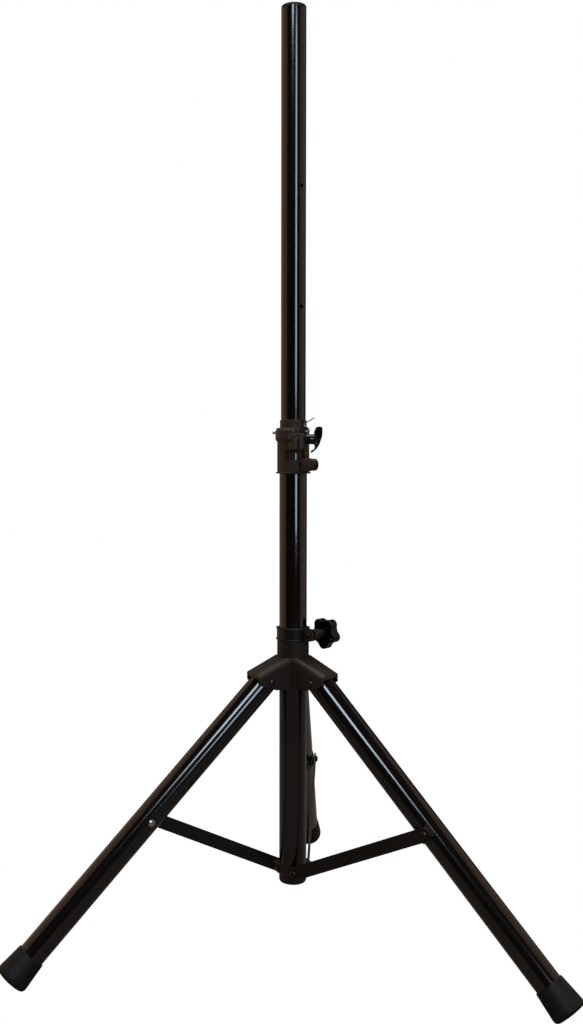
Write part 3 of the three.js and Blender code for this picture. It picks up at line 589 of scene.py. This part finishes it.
def make_collar():
    foot, top, bore = COLLAR["foot"], COLLAR["top"], COLLAR["bore"]
    wall = COLLAR["radius"]
    profile = [(bore, foot), (COLLAR["lip"], foot, 0.6), (COLLAR["lip"], foot + 1.4, 0.6),
               (wall, foot + COLLAR["lip_thickness"], 0.6), (wall, top - 5, 2), (wall - 2, top, 0.8),
               (bore, top)]
    piece = turned("collar", rounded(profile, 4))
    low = top - BULGE["height"]
    round_bulge = BULGE["radius"]
    bulge = turned("bulge", rounded([
        (bore, low - 3), (wall - 0.5, low - 3, 0.5), (round_bulge, low, 2), (round_bulge, top - 4, 2),
        (round_bulge - 2.5, top, 0.8), (bore, top)], 4))
    worked(bulge, [sector("wedge", BULGE["from"], BULGE["to"], low - 5, top + 5)], "INTERSECT")
    half, reach, corner = EARS["half"], EARS["reach"], EARS["corner"]
    ear_plan = rounded([(bore, -half), (reach, -half, corner), (reach, half, corner), (bore, half)], 8)
    ears = soften(slab("ears", ear_plan, EARS["low"], EARS["top"]), EARS["edge"], 4)
    turn_to(ears, EARS["azimuth"])
    barrel = cross_rod("barrel", FIXING["barrel"], FIXING["start"], FIXING["end"], FIXING["axis"],
                       FIXING["height"], 56, 1.4)
    turn_to(barrel, FIXING["azimuth"])
    across = (-BOSS["half"], BOSS["half"])
    rear_boss = turn_to(block("boss", (bore, BOSS["rear"]), across, (low, top)), PIN_AZIMUTH + 180)
    front_boss = turn_to(block("boss", (bore, BOSS["front"]), across, (low, top)), PIN_AZIMUTH)
    floor, under, over = HOLLOW["floor"], HOLLOW["low"], HOLLOW["high"]
    hollow = turned("hollow", [(floor, under), (wall + 5, under), (wall + 5, over), (floor, over)])
    worked(hollow, [sector("wedge", HOLLOW["from"], HOLLOW["to"], under - 5, over + 5)], "INTERSECT")
    cut(piece, hollow)
    fuse(piece, bulge, ears, barrel, rear_boss, front_boss)
    slit_half = EARS["slit"] / 2
    slit = block("saw", (bore - 3, reach + 5), (-slit_half, slit_half), (EARS["slit_foot"], top + 5))
    notch = block("notch", (-40, 40), (-NOTCH_HALF, NOTCH_HALF), (PIN_HEIGHT - NOTCH_HALF, top + 5))
    stud_hole = cross_rod("drill", STUD["hole"], -15, 15, *WING_AXIS)
    at = (FIXING["axis"], FIXING["height"])
    bolt_hole = cross_rod("drill", FIXING["shank"] + FIT, FIXING["start"] + 3, FIXING["end"] + 5, *at)
    dimple = cross_rod("drill", FIXING["dimple"], FIXING["start"] - 2, FIXING["start"] + 2, *at)
    cut(piece, rod("bore", bore, foot - 5, top + 5, 96), turn_to(slit, EARS["azimuth"]),
        turn_to(notch, PIN_AZIMUTH), turn_to(stud_hole, EARS["azimuth"]),
        turn_to(bolt_hole, FIXING["azimuth"]), turn_to(dimple, FIXING["azimuth"]))
    return soften(piece, 0.6, 3)


def make_bush():
    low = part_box("collar_bush")[0].z / MM
    seat_top = COLLAR["top"] - 1
    profile = [(BUSH["inner"], low), (BUSH["seat"], low, 0.3), (BUSH["seat"], seat_top, 0.3),
               (BUSH["neck"], seat_top + 1), (BUSH["neck"], BUSH["top"], 0.7), (BUSH["inner"], BUSH["top"])]
    piece = turned("pole_bush", rounded(profile, 4))
    notch = block("notch", (-40, 40), (-NOTCH_HALF, NOTCH_HALF), (PIN_HEIGHT - NOTCH_HALF, BUSH["top"] + 5))
    return soften(cut(piece, turn_to(notch, PIN_AZIMUTH)), 0.25, 2)


COLLAR_NYLON = moulded("brown_black_nylon", (0.072, 0.052, 0.038), (0.086, 0.064, 0.049), 0.5, 0.66)
fitted(make_collar(), "clamp_collar", "mast", COLLAR_NYLON)
fitted(make_bush(), "collar_bush", "mast", COLLAR_NYLON)

# ------------------------------------------------------------------ fixing bolt and shoe screws
# Blackened steel, with hexagon sockets in their heads. A large bolt in the barrel draws the collar tight
# on the mast, and three domed screws hold the braces to the mast's shoe.
BLACK_STEEL = powder_coat("blackened_steel", (0.012, 0.010, 0.0085), (0.04, 0.034, 0.03),
                          0.34, 0.48, 0.0, 0.5, 0.05, 0.4)
SCREW = {"head": 4.8, "head_height": 2.8, "shank": 2.5}
KEY = {"radius": 3.4, "depth": 4}


def socket_screw(name, radius, height, seat, side, x, z, shank=None, socket=0.5):
    """A domed head with a hexagon socket on the plane y = seat, facing +Y or -Y, and maybe a shank.

    A shank is given as its radius and its two ends along Y.
    """
    profile = rounded([(0, 0), (radius, 0, 0.2), (radius, height * 0.5, 0.4), (radius * 0.62, height, 1.0),
                       (0, height)], 4)
    head = turned(name, profile, 64)
    across = radius * socket
    floor, over = height * 0.45, height + 2
    key = turned("key", [(0, floor), (across, floor), (across, over), (0, over)], 6)
    cut(head, key)
    head = shift(turn_to(head, -90 * side, "X"), x=x, y=seat, z=z)
    if shank:
        fuse(head, cross_rod("shank", shank[0], *sorted(shank[1:]), x, z))
    return soften(head, 0.15, 2, 40, 35)


def make_fixing_bolt():
    seat, head_end, radius = FIXING["end"] + FIT, FIXING["head_end"], FIXING["head"]
    profile = rounded([(0, seat), (radius, seat, 1.2), (radius, head_end, 1.8), (0, head_end)], 5)
    head = turned("fixing_bolt", profile, 72)
    key, floor, over = KEY["radius"], head_end - KEY["depth"], head_end + 2
    cut(head, turned("key", [(0, floor), (key, floor), (key, over), (0, over)], 6))
    at = (FIXING["axis"], FIXING["height"])
    head = shift(turn_to(head, -90, "X"), x=at[0], z=at[1])
    fuse(head, cross_rod("shank", FIXING["shank"], FIXING["start"] + 4, seat + 1, *at))
    return turn_to(soften(head, 0.3, 2, 45), FIXING["azimuth"])


fitted(make_fixing_bolt(), "collar_bolt", "mast", BLACK_STEEL)
for name, azimuth in LEGS.items():
    outer = -(BRACE_SIDE + BRACE["thickness"] / 2 + FIT)
    shank = (SCREW["shank"], outer - 1, outer + 14.5)
    head = (SCREW["head"], SCREW["head_height"])
    screw = socket_screw(f"{name}_shoe_screw", *head, outer, -1, *BRACE_FOOT, shank)
    fitted(turn_to(screw, azimuth), f"{name}_foot_screw", "mast", BLACK_STEEL)

# ------------------------------------------------------------------ wing knob
# A gloss black moulded wing on a round stem. Its upper arm is thick and its lower arm is thin and hooks
# back to the collar. It turns on a steel stud that passes through both halves of the collar's block.
WING = {"hub": 7.0, "crown": 35.4, "top": 17.3, "top_inner": 27.0, "brow": 24.4, "low": 18.8,
        "hook_tip": 18.9, "hook": 2.7, "waist": 24.0, "width": 7.4, "edge": 1.1, "lean": -16, "start": 11.3,
        "bore_end": 21.6}


def gloss_plastic(name, colour, drifted):
    material, tree, shader = new_material(name)
    skin = placed_group(tree, MOULD_GRAIN, Grains_per_metre=500.0)
    marks = placed_group(tree, HANDLING, Amount=0.6)
    mask = reckon(tree, "MAXIMUM", skin.outputs["Drift"], marks.outputs["Dust"])
    tree.links.new(blended(tree, mask, colour, drifted), shader.inputs["Base Color"])
    tree.links.new(ranged(tree, marks.outputs["Smear"], 0, 1, 0.06, 0.13), shader.inputs["Roughness"])
    tree.links.new(relief(tree, skin.outputs["Height"], 0.015, 0.05), shader.inputs["Normal"])
    shader.inputs["Specular IOR Level"].default_value = 0.3
    return material


KNOB_PLASTIC = gloss_plastic("gloss_black_nylon", (0.003, 0.0022, 0.0024), (0.006, 0.005, 0.005))


def bezier_points(nodes, steps=10):
    """Points along quadratic curves: a start, then (control, end) pairs."""
    points = [nodes[0]]
    here = Vector(nodes[0])
    for control, end in nodes[1:]:
        control, end = Vector(control), Vector(end)
        for k in range(1, steps + 1):
            t = k / steps
            points.append(tuple(here * (1 - t) ** 2 + control * 2 * t * (1 - t) + end * t ** 2))
        here = end
    return points


def make_wing():
    crown, top, low, waist, hub = WING["crown"], WING["top"], WING["low"], WING["waist"], WING["hub"]
    tip, hook, brow, shoulder = WING["hook_tip"], WING["hook"], WING["brow"], WING["top_inner"]
    between = (waist + tip) / 2
    upper_arm = [(brow, hub + 1.3), ((brow - 0.4, top - 4.8), (shoulder, top - 0.8)),
                 ((shoulder + 2.5, top + 0.4), (crown - 2.5, top)), ((crown, top), (crown, top - 3.2))]
    lower_arm = [((crown - 0.2, low * 0.16), (crown - 3, -low * 0.1)),
                 ((crown - 5.8, -low * 0.6), (waist, -low * 0.84)), ((between, -low * 0.97), (tip, -low)),
                 ((tip - 1.2, -low + hook / 2), (tip, -low + hook)),
                 ((between + 1, -low + hook), (waist - 0.6, -low * 0.67)),
                 ((waist + 0.4, -low * 0.52), (waist, -hub - 0.2))]
    outline = bezier_points(upper_arm + lower_arm)
    outline += [(waist - 1.8, -hub * 0.9), (waist - 1.8, hub * 0.9)]
    half = WING["width"] / 2
    handle = swept("wing_handle", [(-half, y, z) for y, z in outline], (2 * half, 0, 0))
    piece = soften(handle, WING["edge"], 5, 50)
    start = WING["start"]
    fuse(piece, cross_rod("stem", hub, start, waist, 0, 0, 56, 0.5))
    cut(piece, cross_rod("drill", STUD["hole"], start - 1, WING["bore_end"], 0, 0))
    turn_to(piece, WING["lean"], "Y")
    return turn_to(shift(piece, x=WING_AXIS[0], z=WING_AXIS[1]), EARS["azimuth"])


def make_stud():
    seat = -WING["start"]
    shank = (STUD["radius"], seat - 1, WING["waist"] - 3)
    stud = socket_screw("wing_stud_bolt", STUD["head"], STUD["head_height"], seat, -1, *WING_AXIS, shank)
    return turn_to(stud, EARS["azimuth"])


fitted(make_wing(), "wing_knob", "wing_knob", KNOB_PLASTIC)
fitted(make_stud(), "wing_stud", "mast", BLACK_STEEL)

# ------------------------------------------------------------------ locking pin and its wire
# A zinc plated steel pin goes through collar and pole and carries the load of the pole. It has a groove
# near its tip and a small round head, in whose end a bent spring wire is set.
PIN = {"radius": 2.25, "tip": 45.0, "groove": 1.5, "head": 2.5, "head_from": 28.2, "head_end": 31.0,
       "wire_hole": 1.0, "hole_end": 28.7}
WIRE = 0.7
WIRE_ROUTE = ((29, 0, 0), (31, 0, 0), (33, 0, 0.1), (35, 0, 0.8), (35.9, 0, 2.2), (35.2, 0, 3.8),
              (33.6, 0, 4.9), (31.8, 0, 5.8), (29, 0, 6.7), (26.4, -0.4, 7.4), (24.4, -0.8, 9),
              (25, -0.6, 11.2), (28.6, 1.4, 13.8), (33.4, 3.8, 16.6), (38, 6.4, 19.4))


def brushed_steel(name, colour, darker):
    material, tree, shader = new_material(name)
    marks = placed_group(tree, HANDLING, Amount=0.8)
    tree.links.new(blended(tree, marks.outputs["Smear"], colour, darker), shader.inputs["Base Color"])
    dulled = reckon(tree, "MAXIMUM", marks.outputs["Smear"], marks.outputs["Scuff"])
    tree.links.new(ranged(tree, dulled, 0, 1, 0.25, 0.42), shader.inputs["Roughness"])
    shader.inputs["Metallic"].default_value = 1.0
    return material


BRIGHT_STEEL = brushed_steel("zinc_plated_steel", (0.55, 0.53, 0.5), (0.34, 0.31, 0.28))


def make_pin():
    r, tip, groove, head, end = PIN["radius"], PIN["tip"], PIN["groove"], PIN["head"], PIN["head_end"]
    profile = rounded([(0, -tip), (r, -tip, 1.2), (r, -tip + 3, 0.3), (groove, -tip + 4, 0.3),
                       (groove, -tip + 5.6, 0.3), (r, -tip + 6.6, 0.3), (r, PIN["head_from"]),
                       (head, PIN["head_from"], 0.3), (head, end, 0.6), (PIN["wire_hole"], end),
                       (PIN["wire_hole"], PIN["hole_end"]), (0, PIN["hole_end"])], 4)
    piece = turn_to(turned("pull_pin", profile, 40), 90, "Y")
    return turn_to(shift(piece, z=PIN_HEIGHT), PIN_AZIMUTH)


def make_wire():
    data = bpy.data.curves.new("wire_path", "CURVE")
    data.dimensions = "3D"
    data.bevel_depth = WIRE * MM
    data.bevel_resolution = 4
    data.resolution_u = 12
    data.use_fill_caps = True
    spline = data.splines.new("NURBS")
    spline.points.add(len(WIRE_ROUTE) - 1)
    for point, (x, y, z) in zip(spline.points, WIRE_ROUTE):
        point.co = (x * MM, y * MM, (PIN_HEIGHT + z) * MM, 1)
    spline.order_u = 3
    spline.use_endpoint_u = True
    path = bpy.data.objects.new("wire_path", data)
    bpy.context.scene.collection.objects.link(path)
    bpy.context.view_layer.update()
    mesh = bpy.data.meshes.new_from_object(path.evaluated_get(bpy.context.evaluated_depsgraph_get()))
    bpy.data.objects.remove(path)
    mesh.shade_smooth()
    wire = bpy.data.objects.new("spring_wire", mesh)
    bpy.context.scene.collection.objects.link(wire)
    return turn_to(wire, PIN_AZIMUTH)


fitted(make_pin(), "locking_pin", "locking_pin", BRIGHT_STEEL)
fitted(make_wire(), "pin_wire", "locking_pin", BRIGHT_STEEL)

# ------------------------------------------------------------------ sliding leg hub
# One moulding slides on the mast: a round neck over three arms, each an upturned channel that a leg swings
# in. A dulled steel bolt goes through the walls of each arm as the leg's pivot.
PIVOT_STEEL = brushed_steel("dulled_steel", (0.1, 0.09, 0.085), (0.04, 0.035, 0.03))
HUB_PIVOT = (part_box("rear_leg_bolt")[0].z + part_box("rear_leg_bolt")[1].z) / 2 / MM
HUB = {"neck": 22.7, "bore": 19.8, "neck_top": 73.0, "bottom": -12.0, "seat": 21.6, "band": 18.0}
ARM = {"half": 21.5, "slot": 18.7, "roof_neck": 31.2, "roof_end": 14.6, "roof_out": 58.0, "end": 64.6,
       "roof": 2.8, "slot_start": 23.7, "shoulder": 36.0, "corner": 9.0, "inner_corner": 7.0,
       "end_corner": 6.0, "end_wall": 3.0, "nose": 5.0, "nose_foot": 3.5, "over_leg": 0.85}
PIVOT = {"radius": 2.5, "head": 3.3, "head_height": 2.0}
LEG_RADIUS = 18.1
LEG_PIVOT = 43.0
LEG_SPREAD = 45
ROOF_SLOPE = (ARM["roof_end"] - ARM["roof_neck"]) / (ARM["roof_out"] - HUB["neck"])
ROOF_DROP = ARM["roof"] / math.cos(math.atan(ROOF_SLOPE))


def roof_at(radius):
    return ARM["roof_neck"] + ROOF_SLOPE * (radius - HUB["neck"])


def above_leg(radius):
    """Height over the pivot of an open leg's upper side, with the clearance that the arm's end keeps."""
    lean = math.radians(LEG_SPREAD)
    return (LEG_RADIUS + ARM["over_leg"] - (radius - LEG_PIVOT) * math.cos(lean)) / math.sin(lean)


def arm_bar(name, half, below, edge):
    """A bar with rounded upper edges that runs down the arm's slope, so far below its roof."""
    flat = half - edge * 1.3
    section = bezier_points([(half, -below - edge), ((half, -below), (flat, -below))])
    section += bezier_points([(-flat, -below), ((-half, -below), (-half, -below - edge))])
    bar = prism(name, section + [(-half, -200), (half, -200)], -60, 140)
    turn_to(bar, -90)
    turn_to(bar, -math.degrees(math.atan(ROOF_SLOPE)), "Y")
    return shift(bar, x=HUB["neck"], z=ARM["roof_neck"])


def make_arm(azimuth):
    half, end, nose, foot = ARM["half"], ARM["end"], ARM["nose"], ARM["nose_foot"]
    nose_curve = bezier_points([(end - nose, -foot), ((end, -foot * 0.3), (end, nose)),
                                ((end, ARM["roof_end"]), (ARM["roof_out"], ARM["roof_end"]))])
    side = [(0, HUB["bottom"]), (ARM["shoulder"], HUB["bottom"])] + nose_curve
    side += [(HUB["neck"], ARM["roof_neck"]), (0, ARM["roof_neck"])]
    corner = ARM["end_corner"]
    plan = rounded([(0, -half), (end, -half, corner), (end, half, corner), (0, half)], 8)
    arm = prism("arm", side, -half, half)
    worked(arm, [slab("plan", plan, -80, 80), arm_bar("run", half, 0, ARM["corner"])], "INTERSECT")
    return turn_to(shift(arm, z=HUB_PIVOT), azimuth)


def make_slot(azimuth):
    start, end = ARM["slot_start"], ARM["end"]
    far, away = end - ARM["end_wall"], end + ARM["end_wall"]
    outline = [(start, -end), (start, roof_at(start)), (far, roof_at(far)), (far, above_leg(far)),
               (away, above_leg(away)), (end * 2, -end)]
    slot = prism("slot", outline, -ARM["slot"], ARM["slot"])
    worked(slot, [arm_bar("run", ARM["slot"], ARM["roof"], ARM["inner_corner"])], "INTERSECT")
    return turn_to(shift(slot, z=HUB_PIVOT), azimuth)


def make_hub():
    top = HUB["neck_top"]
    seat = top - HUB["band"]
    profile = rounded([(0, HUB["bottom"]), (HUB["neck"], HUB["bottom"]), (HUB["neck"], seat, 0.5),
                       (HUB["seat"], seat), (HUB["seat"], top, 0.5), (0, top)], 3)
    piece = shift(turned("leg_hub_moulding", profile), z=HUB_PIVOT)
    fuse(piece, *[make_arm(azimuth) for azimuth in LEGS.values()])
    for azimuth in LEGS.values():
        drill = turn_to(cross_rod("drill", HOLE, -40, 40, LEG_PIVOT, HUB_PIVOT), azimuth)
        cut(piece, make_slot(azimuth), drill)
    cut(piece, rod("bore", HUB["bore"], HUB_PIVOT - 40, HUB_PIVOT + top + 5, 96))
    return soften(piece, 0.7, 3)


fitted(make_hub(), "leg_hub", "hub", MOULDING)
for name, azimuth in LEGS.items():
    outside = ARM["half"] + FIT
    shank = (PIVOT["radius"], -outside - 1, outside + 1)
    head = (PIVOT["head"], PIVOT["head_height"])
    bolt = socket_screw(f"{name}_pivot_bolt", *head, outside, 1, LEG_PIVOT, HUB_PIVOT, shank)
    fuse(bolt, socket_screw("nut", *head, -outside, -1, LEG_PIVOT, HUB_PIVOT))
    fitted(turn_to(bolt, azimuth), f"{name}_leg_bolt", "hub", PIVOT_STEEL)

# ------------------------------------------------------------------ band clamp and star knob
# A pressed steel band with rolled edges round the hub's neck. Its two ears are pulled together by a bolt,
# which runs on through a moulded sleeve and ends in a gloss black knob with five lobes.
BAND = {"inner": 21.9, "outer": 23.1, "lip": 24.4, "lip_thickness": 1.3, "low": 55.5, "high": 72.5}
STAR = {"azimuth": -38, "axis": 32.5, "reach": 40.5, "slit": 3.0, "ear": 2.6, "bolt": 3.0, "bolt_head": 4.2,
        "head_height": 2.6, "disc_start": 26.5, "disc": 14.0, "lobes": 5, "lobe_centre": 15.2, "lobe": 7.4,
        "lobe_arc": 63, "edge": 1.7}
SLEEVE = {"radius": 8.0, "tip": 5.6, "start": 4.4, "collar": 2.6, "end": 26.2}
BAND_MIDDLE = HUB_PIVOT + (BAND["low"] + BAND["high"]) / 2


def make_band():
    low, high = HUB_PIVOT + BAND["low"], HUB_PIVOT + BAND["high"]
    inner, outer, lip, thick = BAND["inner"], BAND["outer"], BAND["lip"], BAND["lip_thickness"]
    piece = turned("neck_band", rounded([
        (inner, low), (lip, low, 0.5), (lip, low + thick, 0.5), (outer, low + thick, 0.3),
        (outer, high - thick, 0.3), (lip, high - thick, 0.5), (lip, high, 0.5), (inner, high)], 4))
    reach, axis = STAR["reach"], STAR["axis"]
    ear = bezier_points([(axis, low), ((reach, low), (reach, BAND_MIDDLE)), ((reach, high), (axis, high))])
    ear = [(inner + 0.6, low)] + ear + [(inner + 0.6, high)]
    start, end = STAR["slit"] / 2, STAR["slit"] / 2 + STAR["ear"]
    for near, far in ((-end, -start), (start, end)):
        fuse(piece, turn_to(prism("ear", ear, near, far), STAR["azimuth"]))
    gap = block("saw", (0, 60), (-start, start), (low - 5, high + 5))
    hole = cross_rod("drill", STAR["bolt"] + FIT, -20, 20, axis, BAND_MIDDLE)
    cut(piece, turn_to(gap, STAR["azimuth"]), turn_to(hole, STAR["azimuth"]),
        rod("bore", inner, low - 5, high + 5, 96))
    return soften(piece, 0.35, 3)


def on_band_bolt(piece):
    """Puts a piece that was made round Y, with the bolt's axis at its origin, on the band's bolt."""
    return turn_to(shift(piece, x=STAR["axis"], z=BAND_MIDDLE), STAR["azimuth"])


def make_band_bolt():
    seat = -(STAR["slit"] / 2 + STAR["ear"] + FIT)
    shank = (STAR["bolt"], seat - 1, STAR["disc_start"] + STAR["disc"] / 3)
    head = (STAR["bolt_head"], STAR["head_height"])
    return on_band_bolt(socket_screw("band_screw", *head, seat, -1, 0, 0, shank))


def make_sleeve():
    bore, start, end, wide = STAR["bolt"] + FIT, SLEEVE["start"], SLEEVE["end"], SLEEVE["radius"]
    profile = rounded([(bore, start), (wide, start, 0.4), (wide, start + SLEEVE["collar"], 0.8),
                       (SLEEVE["tip"], end, 0.4), (bore, end)], 4)
    return on_band_bolt(turn_to(turned("sleeve", profile, 64), -90, "X"))


def make_star():
    centre, lobe, lobes = STAR["lobe_centre"], STAR["lobe"], STAR["lobes"]
    half = math.radians(STAR["lobe_arc"])
    out, across = centre + lobe * math.cos(half), lobe * math.sin(half)
    between = math.pi / lobes
    run = (out * math.tan(between) - across) / (math.cos(half) + math.sin(half) * math.tan(between))
    hollow = (out - run * math.sin(half)) / math.cos(between)
    outline = []
    for k in range(lobes):
        at = 2 * between * k - math.pi / 2
        turn = Matrix.Rotation(at, 2)
        arc = [half * (2 * n / 16 - 1) for n in range(17)]
        outline += [tuple(turn @ Vector((centre + lobe * math.cos(a), lobe * math.sin(a)))) for a in arc]
        following = Matrix.Rotation(at + 2 * between, 2)
        control = tuple(Matrix.Rotation(at + between, 2) @ Vector((hollow, 0)))
        end = tuple(following @ Vector((out, -across)))
        outline += bezier_points([outline[-1], (control, end)], 8)[1:-1]
    start, far = STAR["disc_start"], STAR["disc_start"] + STAR["disc"]
    piece = soften(prism("star_handle", outline, start, far), STAR["edge"], 6, 60)
    cut(piece, cross_rod("drill", STAR["bolt"] + FIT, start - 2, start + STAR["disc"] / 3 + FIT, 0, 0))
    return on_band_bolt(piece)


fitted(make_band(), "band_clamp", "hub", BLACK_STEEL)
fitted(make_band_bolt(), "band_bolt", "hub", BLACK_STEEL)
fitted(make_sleeve(), "knob_sleeve", "hub", MOULDING)
fitted(make_star(), "star_knob", "star_knob", KNOB_PLASTIC)

# ------------------------------------------------------------------ legs and rubber feet
# Each leg is a 36 mm steel tube, gloss black, mitred at its top under the hub's arm and closed at its
# foot by a black rubber cap that stands on its lower edge. A curved spacer and a bolt carry the brace.
LEG = {"radius": LEG_RADIUS, "wall": 1.4, "spread": LEG_SPREAD, "top": 4.0, "brace_at": 251.5}
FOOT = {"rim": 19.8, "base": 22.8, "edge": 5.0, "length": 41.0, "floor": 5.0, "bore": 18.4, "reach": 520.4}
FLUTES = {"count": 12, "radius": 1.6, "out": 0.75, "low": 4.2, "high": 17}
SADDLE = {"inner": 18.4, "outer": 19.8, "half": 8.0, "under": 65, "up": 30}
RUBBER = moulded("black_rubber", (0.0105, 0.0098, 0.0095), (0.017, 0.016, 0.0155),
                 0.52, 0.7, 0.3, 0.7, 1000.0, 0.25)


def along_leg(piece):
    """Tilts a piece that was made round Z, with the pivot at its origin, to the leg's place."""
    turn_to(piece, -LEG["spread"], "Y")
    return shift(piece, x=LEG_PIVOT, z=HUB_PIVOT)


def brace_pivot():
    angle = math.radians(LEG["spread"])
    return LEG_PIVOT + LEG["brace_at"] * math.sin(angle), HUB_PIVOT - LEG["brace_at"] * math.cos(angle)


def make_leg(name, azimuth):
    end = -(FOOT["reach"] - FOOT["floor"] - FIT)
    piece = along_leg(tube(f"{name}_leg", LEG["radius"], LEG["wall"], end, LEG["top"], 0.3))
    drop = ROOF_DROP + 0.9
    roof = [(-60, roof_at(-60) - drop), (120, roof_at(120) - drop), (120, 200), (-60, 200)]
    cut(piece, shift(prism("mitre", roof, -40, 40), z=HUB_PIVOT),
        cross_rod("drill", HOLE, -40, 40, LEG_PIVOT, HUB_PIVOT),
        cross_rod("drill", HOLE, -40, 40, *brace_pivot()))
    return turn_to(soften(piece, 0.25, 2, 50, 35), azimuth)


def make_foot(name, azimuth):
    end, base, edge = -FOOT["reach"], FOOT["base"], FOOT["edge"]
    rim = end + FOOT["length"]
    bore, floor = FOOT["bore"], end + FOOT["floor"]
    profile = rounded([(0, end), (base, end, edge), (base, end + edge + 3, 8), (FOOT["rim"], rim, 0.8),
                       (bore, rim, 0.3), (bore, floor), (0, floor)], 6)
    piece = turned(f"{name}_rubber_foot", profile, 120)
    for k in range(FLUTES["count"]):
        groove = rod("groove", FLUTES["radius"], end + FLUTES["low"], end + FLUTES["high"], 20, 1.5)
        cut(piece, turn_to(shift(groove, x=base + FLUTES["out"]), 360 * (k + 0.5) / FLUTES["count"]))
    along_leg(piece)
    cut(piece, block("ground", (0, 900), (-100, 100), (-50, 0)))
    return turn_to(soften(piece, 0.3, 2, 45), azimuth)


def make_spacer(name, azimuth):
    start, end = -90 - SADDLE["under"], -90 + SADDLE["up"]
    angles = [math.radians(start + (end - start) * k / 20) for k in range(21)]
    rim = [(SADDLE["outer"] * math.cos(a), SADDLE["outer"] * math.sin(a)) for a in angles]
    rim += [(SADDLE["inner"] * math.cos(a), SADDLE["inner"] * math.sin(a)) for a in reversed(angles)]
    middle = -LEG["brace_at"]
    piece = along_leg(slab(f"{name}_spacer", rim, middle - SADDLE["half"], middle + SADDLE["half"]))
    cut(piece, cross_rod("drill", HOLE, -40, 40, *brace_pivot()))
    return turn_to(soften(piece, 0.4, 3), azimuth)


for name, azimuth in LEGS.items():
    body = f"{name}_leg"
    fitted(make_leg(name, azimuth), f"{name}_leg_tube", body, TUBE_PAINT)
    fitted(make_foot(name, azimuth), f"{name}_foot", body, RUBBER)
    fitted(make_spacer(name, azimuth), f"{name}_saddle", body, MOULDING)
    seat = LEG["radius"] + FIT
    shank = (SCREW["shank"], -SADDLE["outer"], seat + 1)
    head = (SCREW["head"], SCREW["head_height"])
    bolt = socket_screw(f"{name}_link_bolt", *head, seat, 1, *brace_pivot(), shank)
    fitted(turn_to(bolt, azimuth), f"{name}_brace_bolt", body, BRIGHT_STEEL)

# ------------------------------------------------------------------ braces
# Three flat steel bars with round ends, coated satin black, tie the legs to the mast's shoe. A rivet
# holds each one's outer end against the spacer on its leg.
BRACE_PAINT = powder_coat("satin_black_coat", (0.014, 0.012, 0.0108), (0.034, 0.030, 0.028),
                          0.42, 0.56, 0.0, 0.7, 0.2, 0.3)


def make_brace(name, azimuth):
    foot, outer = Vector(BRACE_FOOT), Vector(brace_pivot())
    length = (outer - foot).length
    angle = math.degrees(math.atan2(outer.y - foot.y, outer.x - foot.x))
    half = BRACE["half_width"]
    steps = 20
    turns = [math.pi * k / steps for k in range(steps + 1)]
    outline = [(-half * math.sin(a), half * math.cos(a)) for a in turns]
    outline += [(length + half * math.sin(a), -half * math.cos(a)) for a in turns]
    near = -BRACE_SIDE - BRACE["thickness"] / 2
    piece = prism(f"{name}_brace_bar", outline, near, near + BRACE["thickness"])
    cut(piece, cross_rod("drill", HOLE, near - 5, near + 8, 0, 0),
        cross_rod("drill", HOLE, near - 5, near + 8, length, 0))
    soften(piece, 0.5, 3, 50)
    turn_to(piece, -angle, "Y")
    return turn_to(shift(piece, x=foot.x, z=foot.y), azimuth)


for name, azimuth in LEGS.items():
    body = f"{name}_brace"
    fitted(make_brace(name, azimuth), f"{name}_brace", body, BRACE_PAINT)
    outer = -(BRACE_SIDE + BRACE["thickness"] / 2 + FIT)
    inner_face = -(BRACE_SIDE - BRACE["thickness"] / 2)
    shank = (SCREW["shank"], outer - 1, inner_face - 0.1)
    head = (SCREW["head"], SCREW["head_height"])
    rivet = socket_screw(f"{name}_brace_rivet_head", *head, outer, -1, *brace_pivot(), shank)
    fitted(turn_to(rivet, azimuth), f"{name}_brace_rivet", body, BLACK_STEEL)
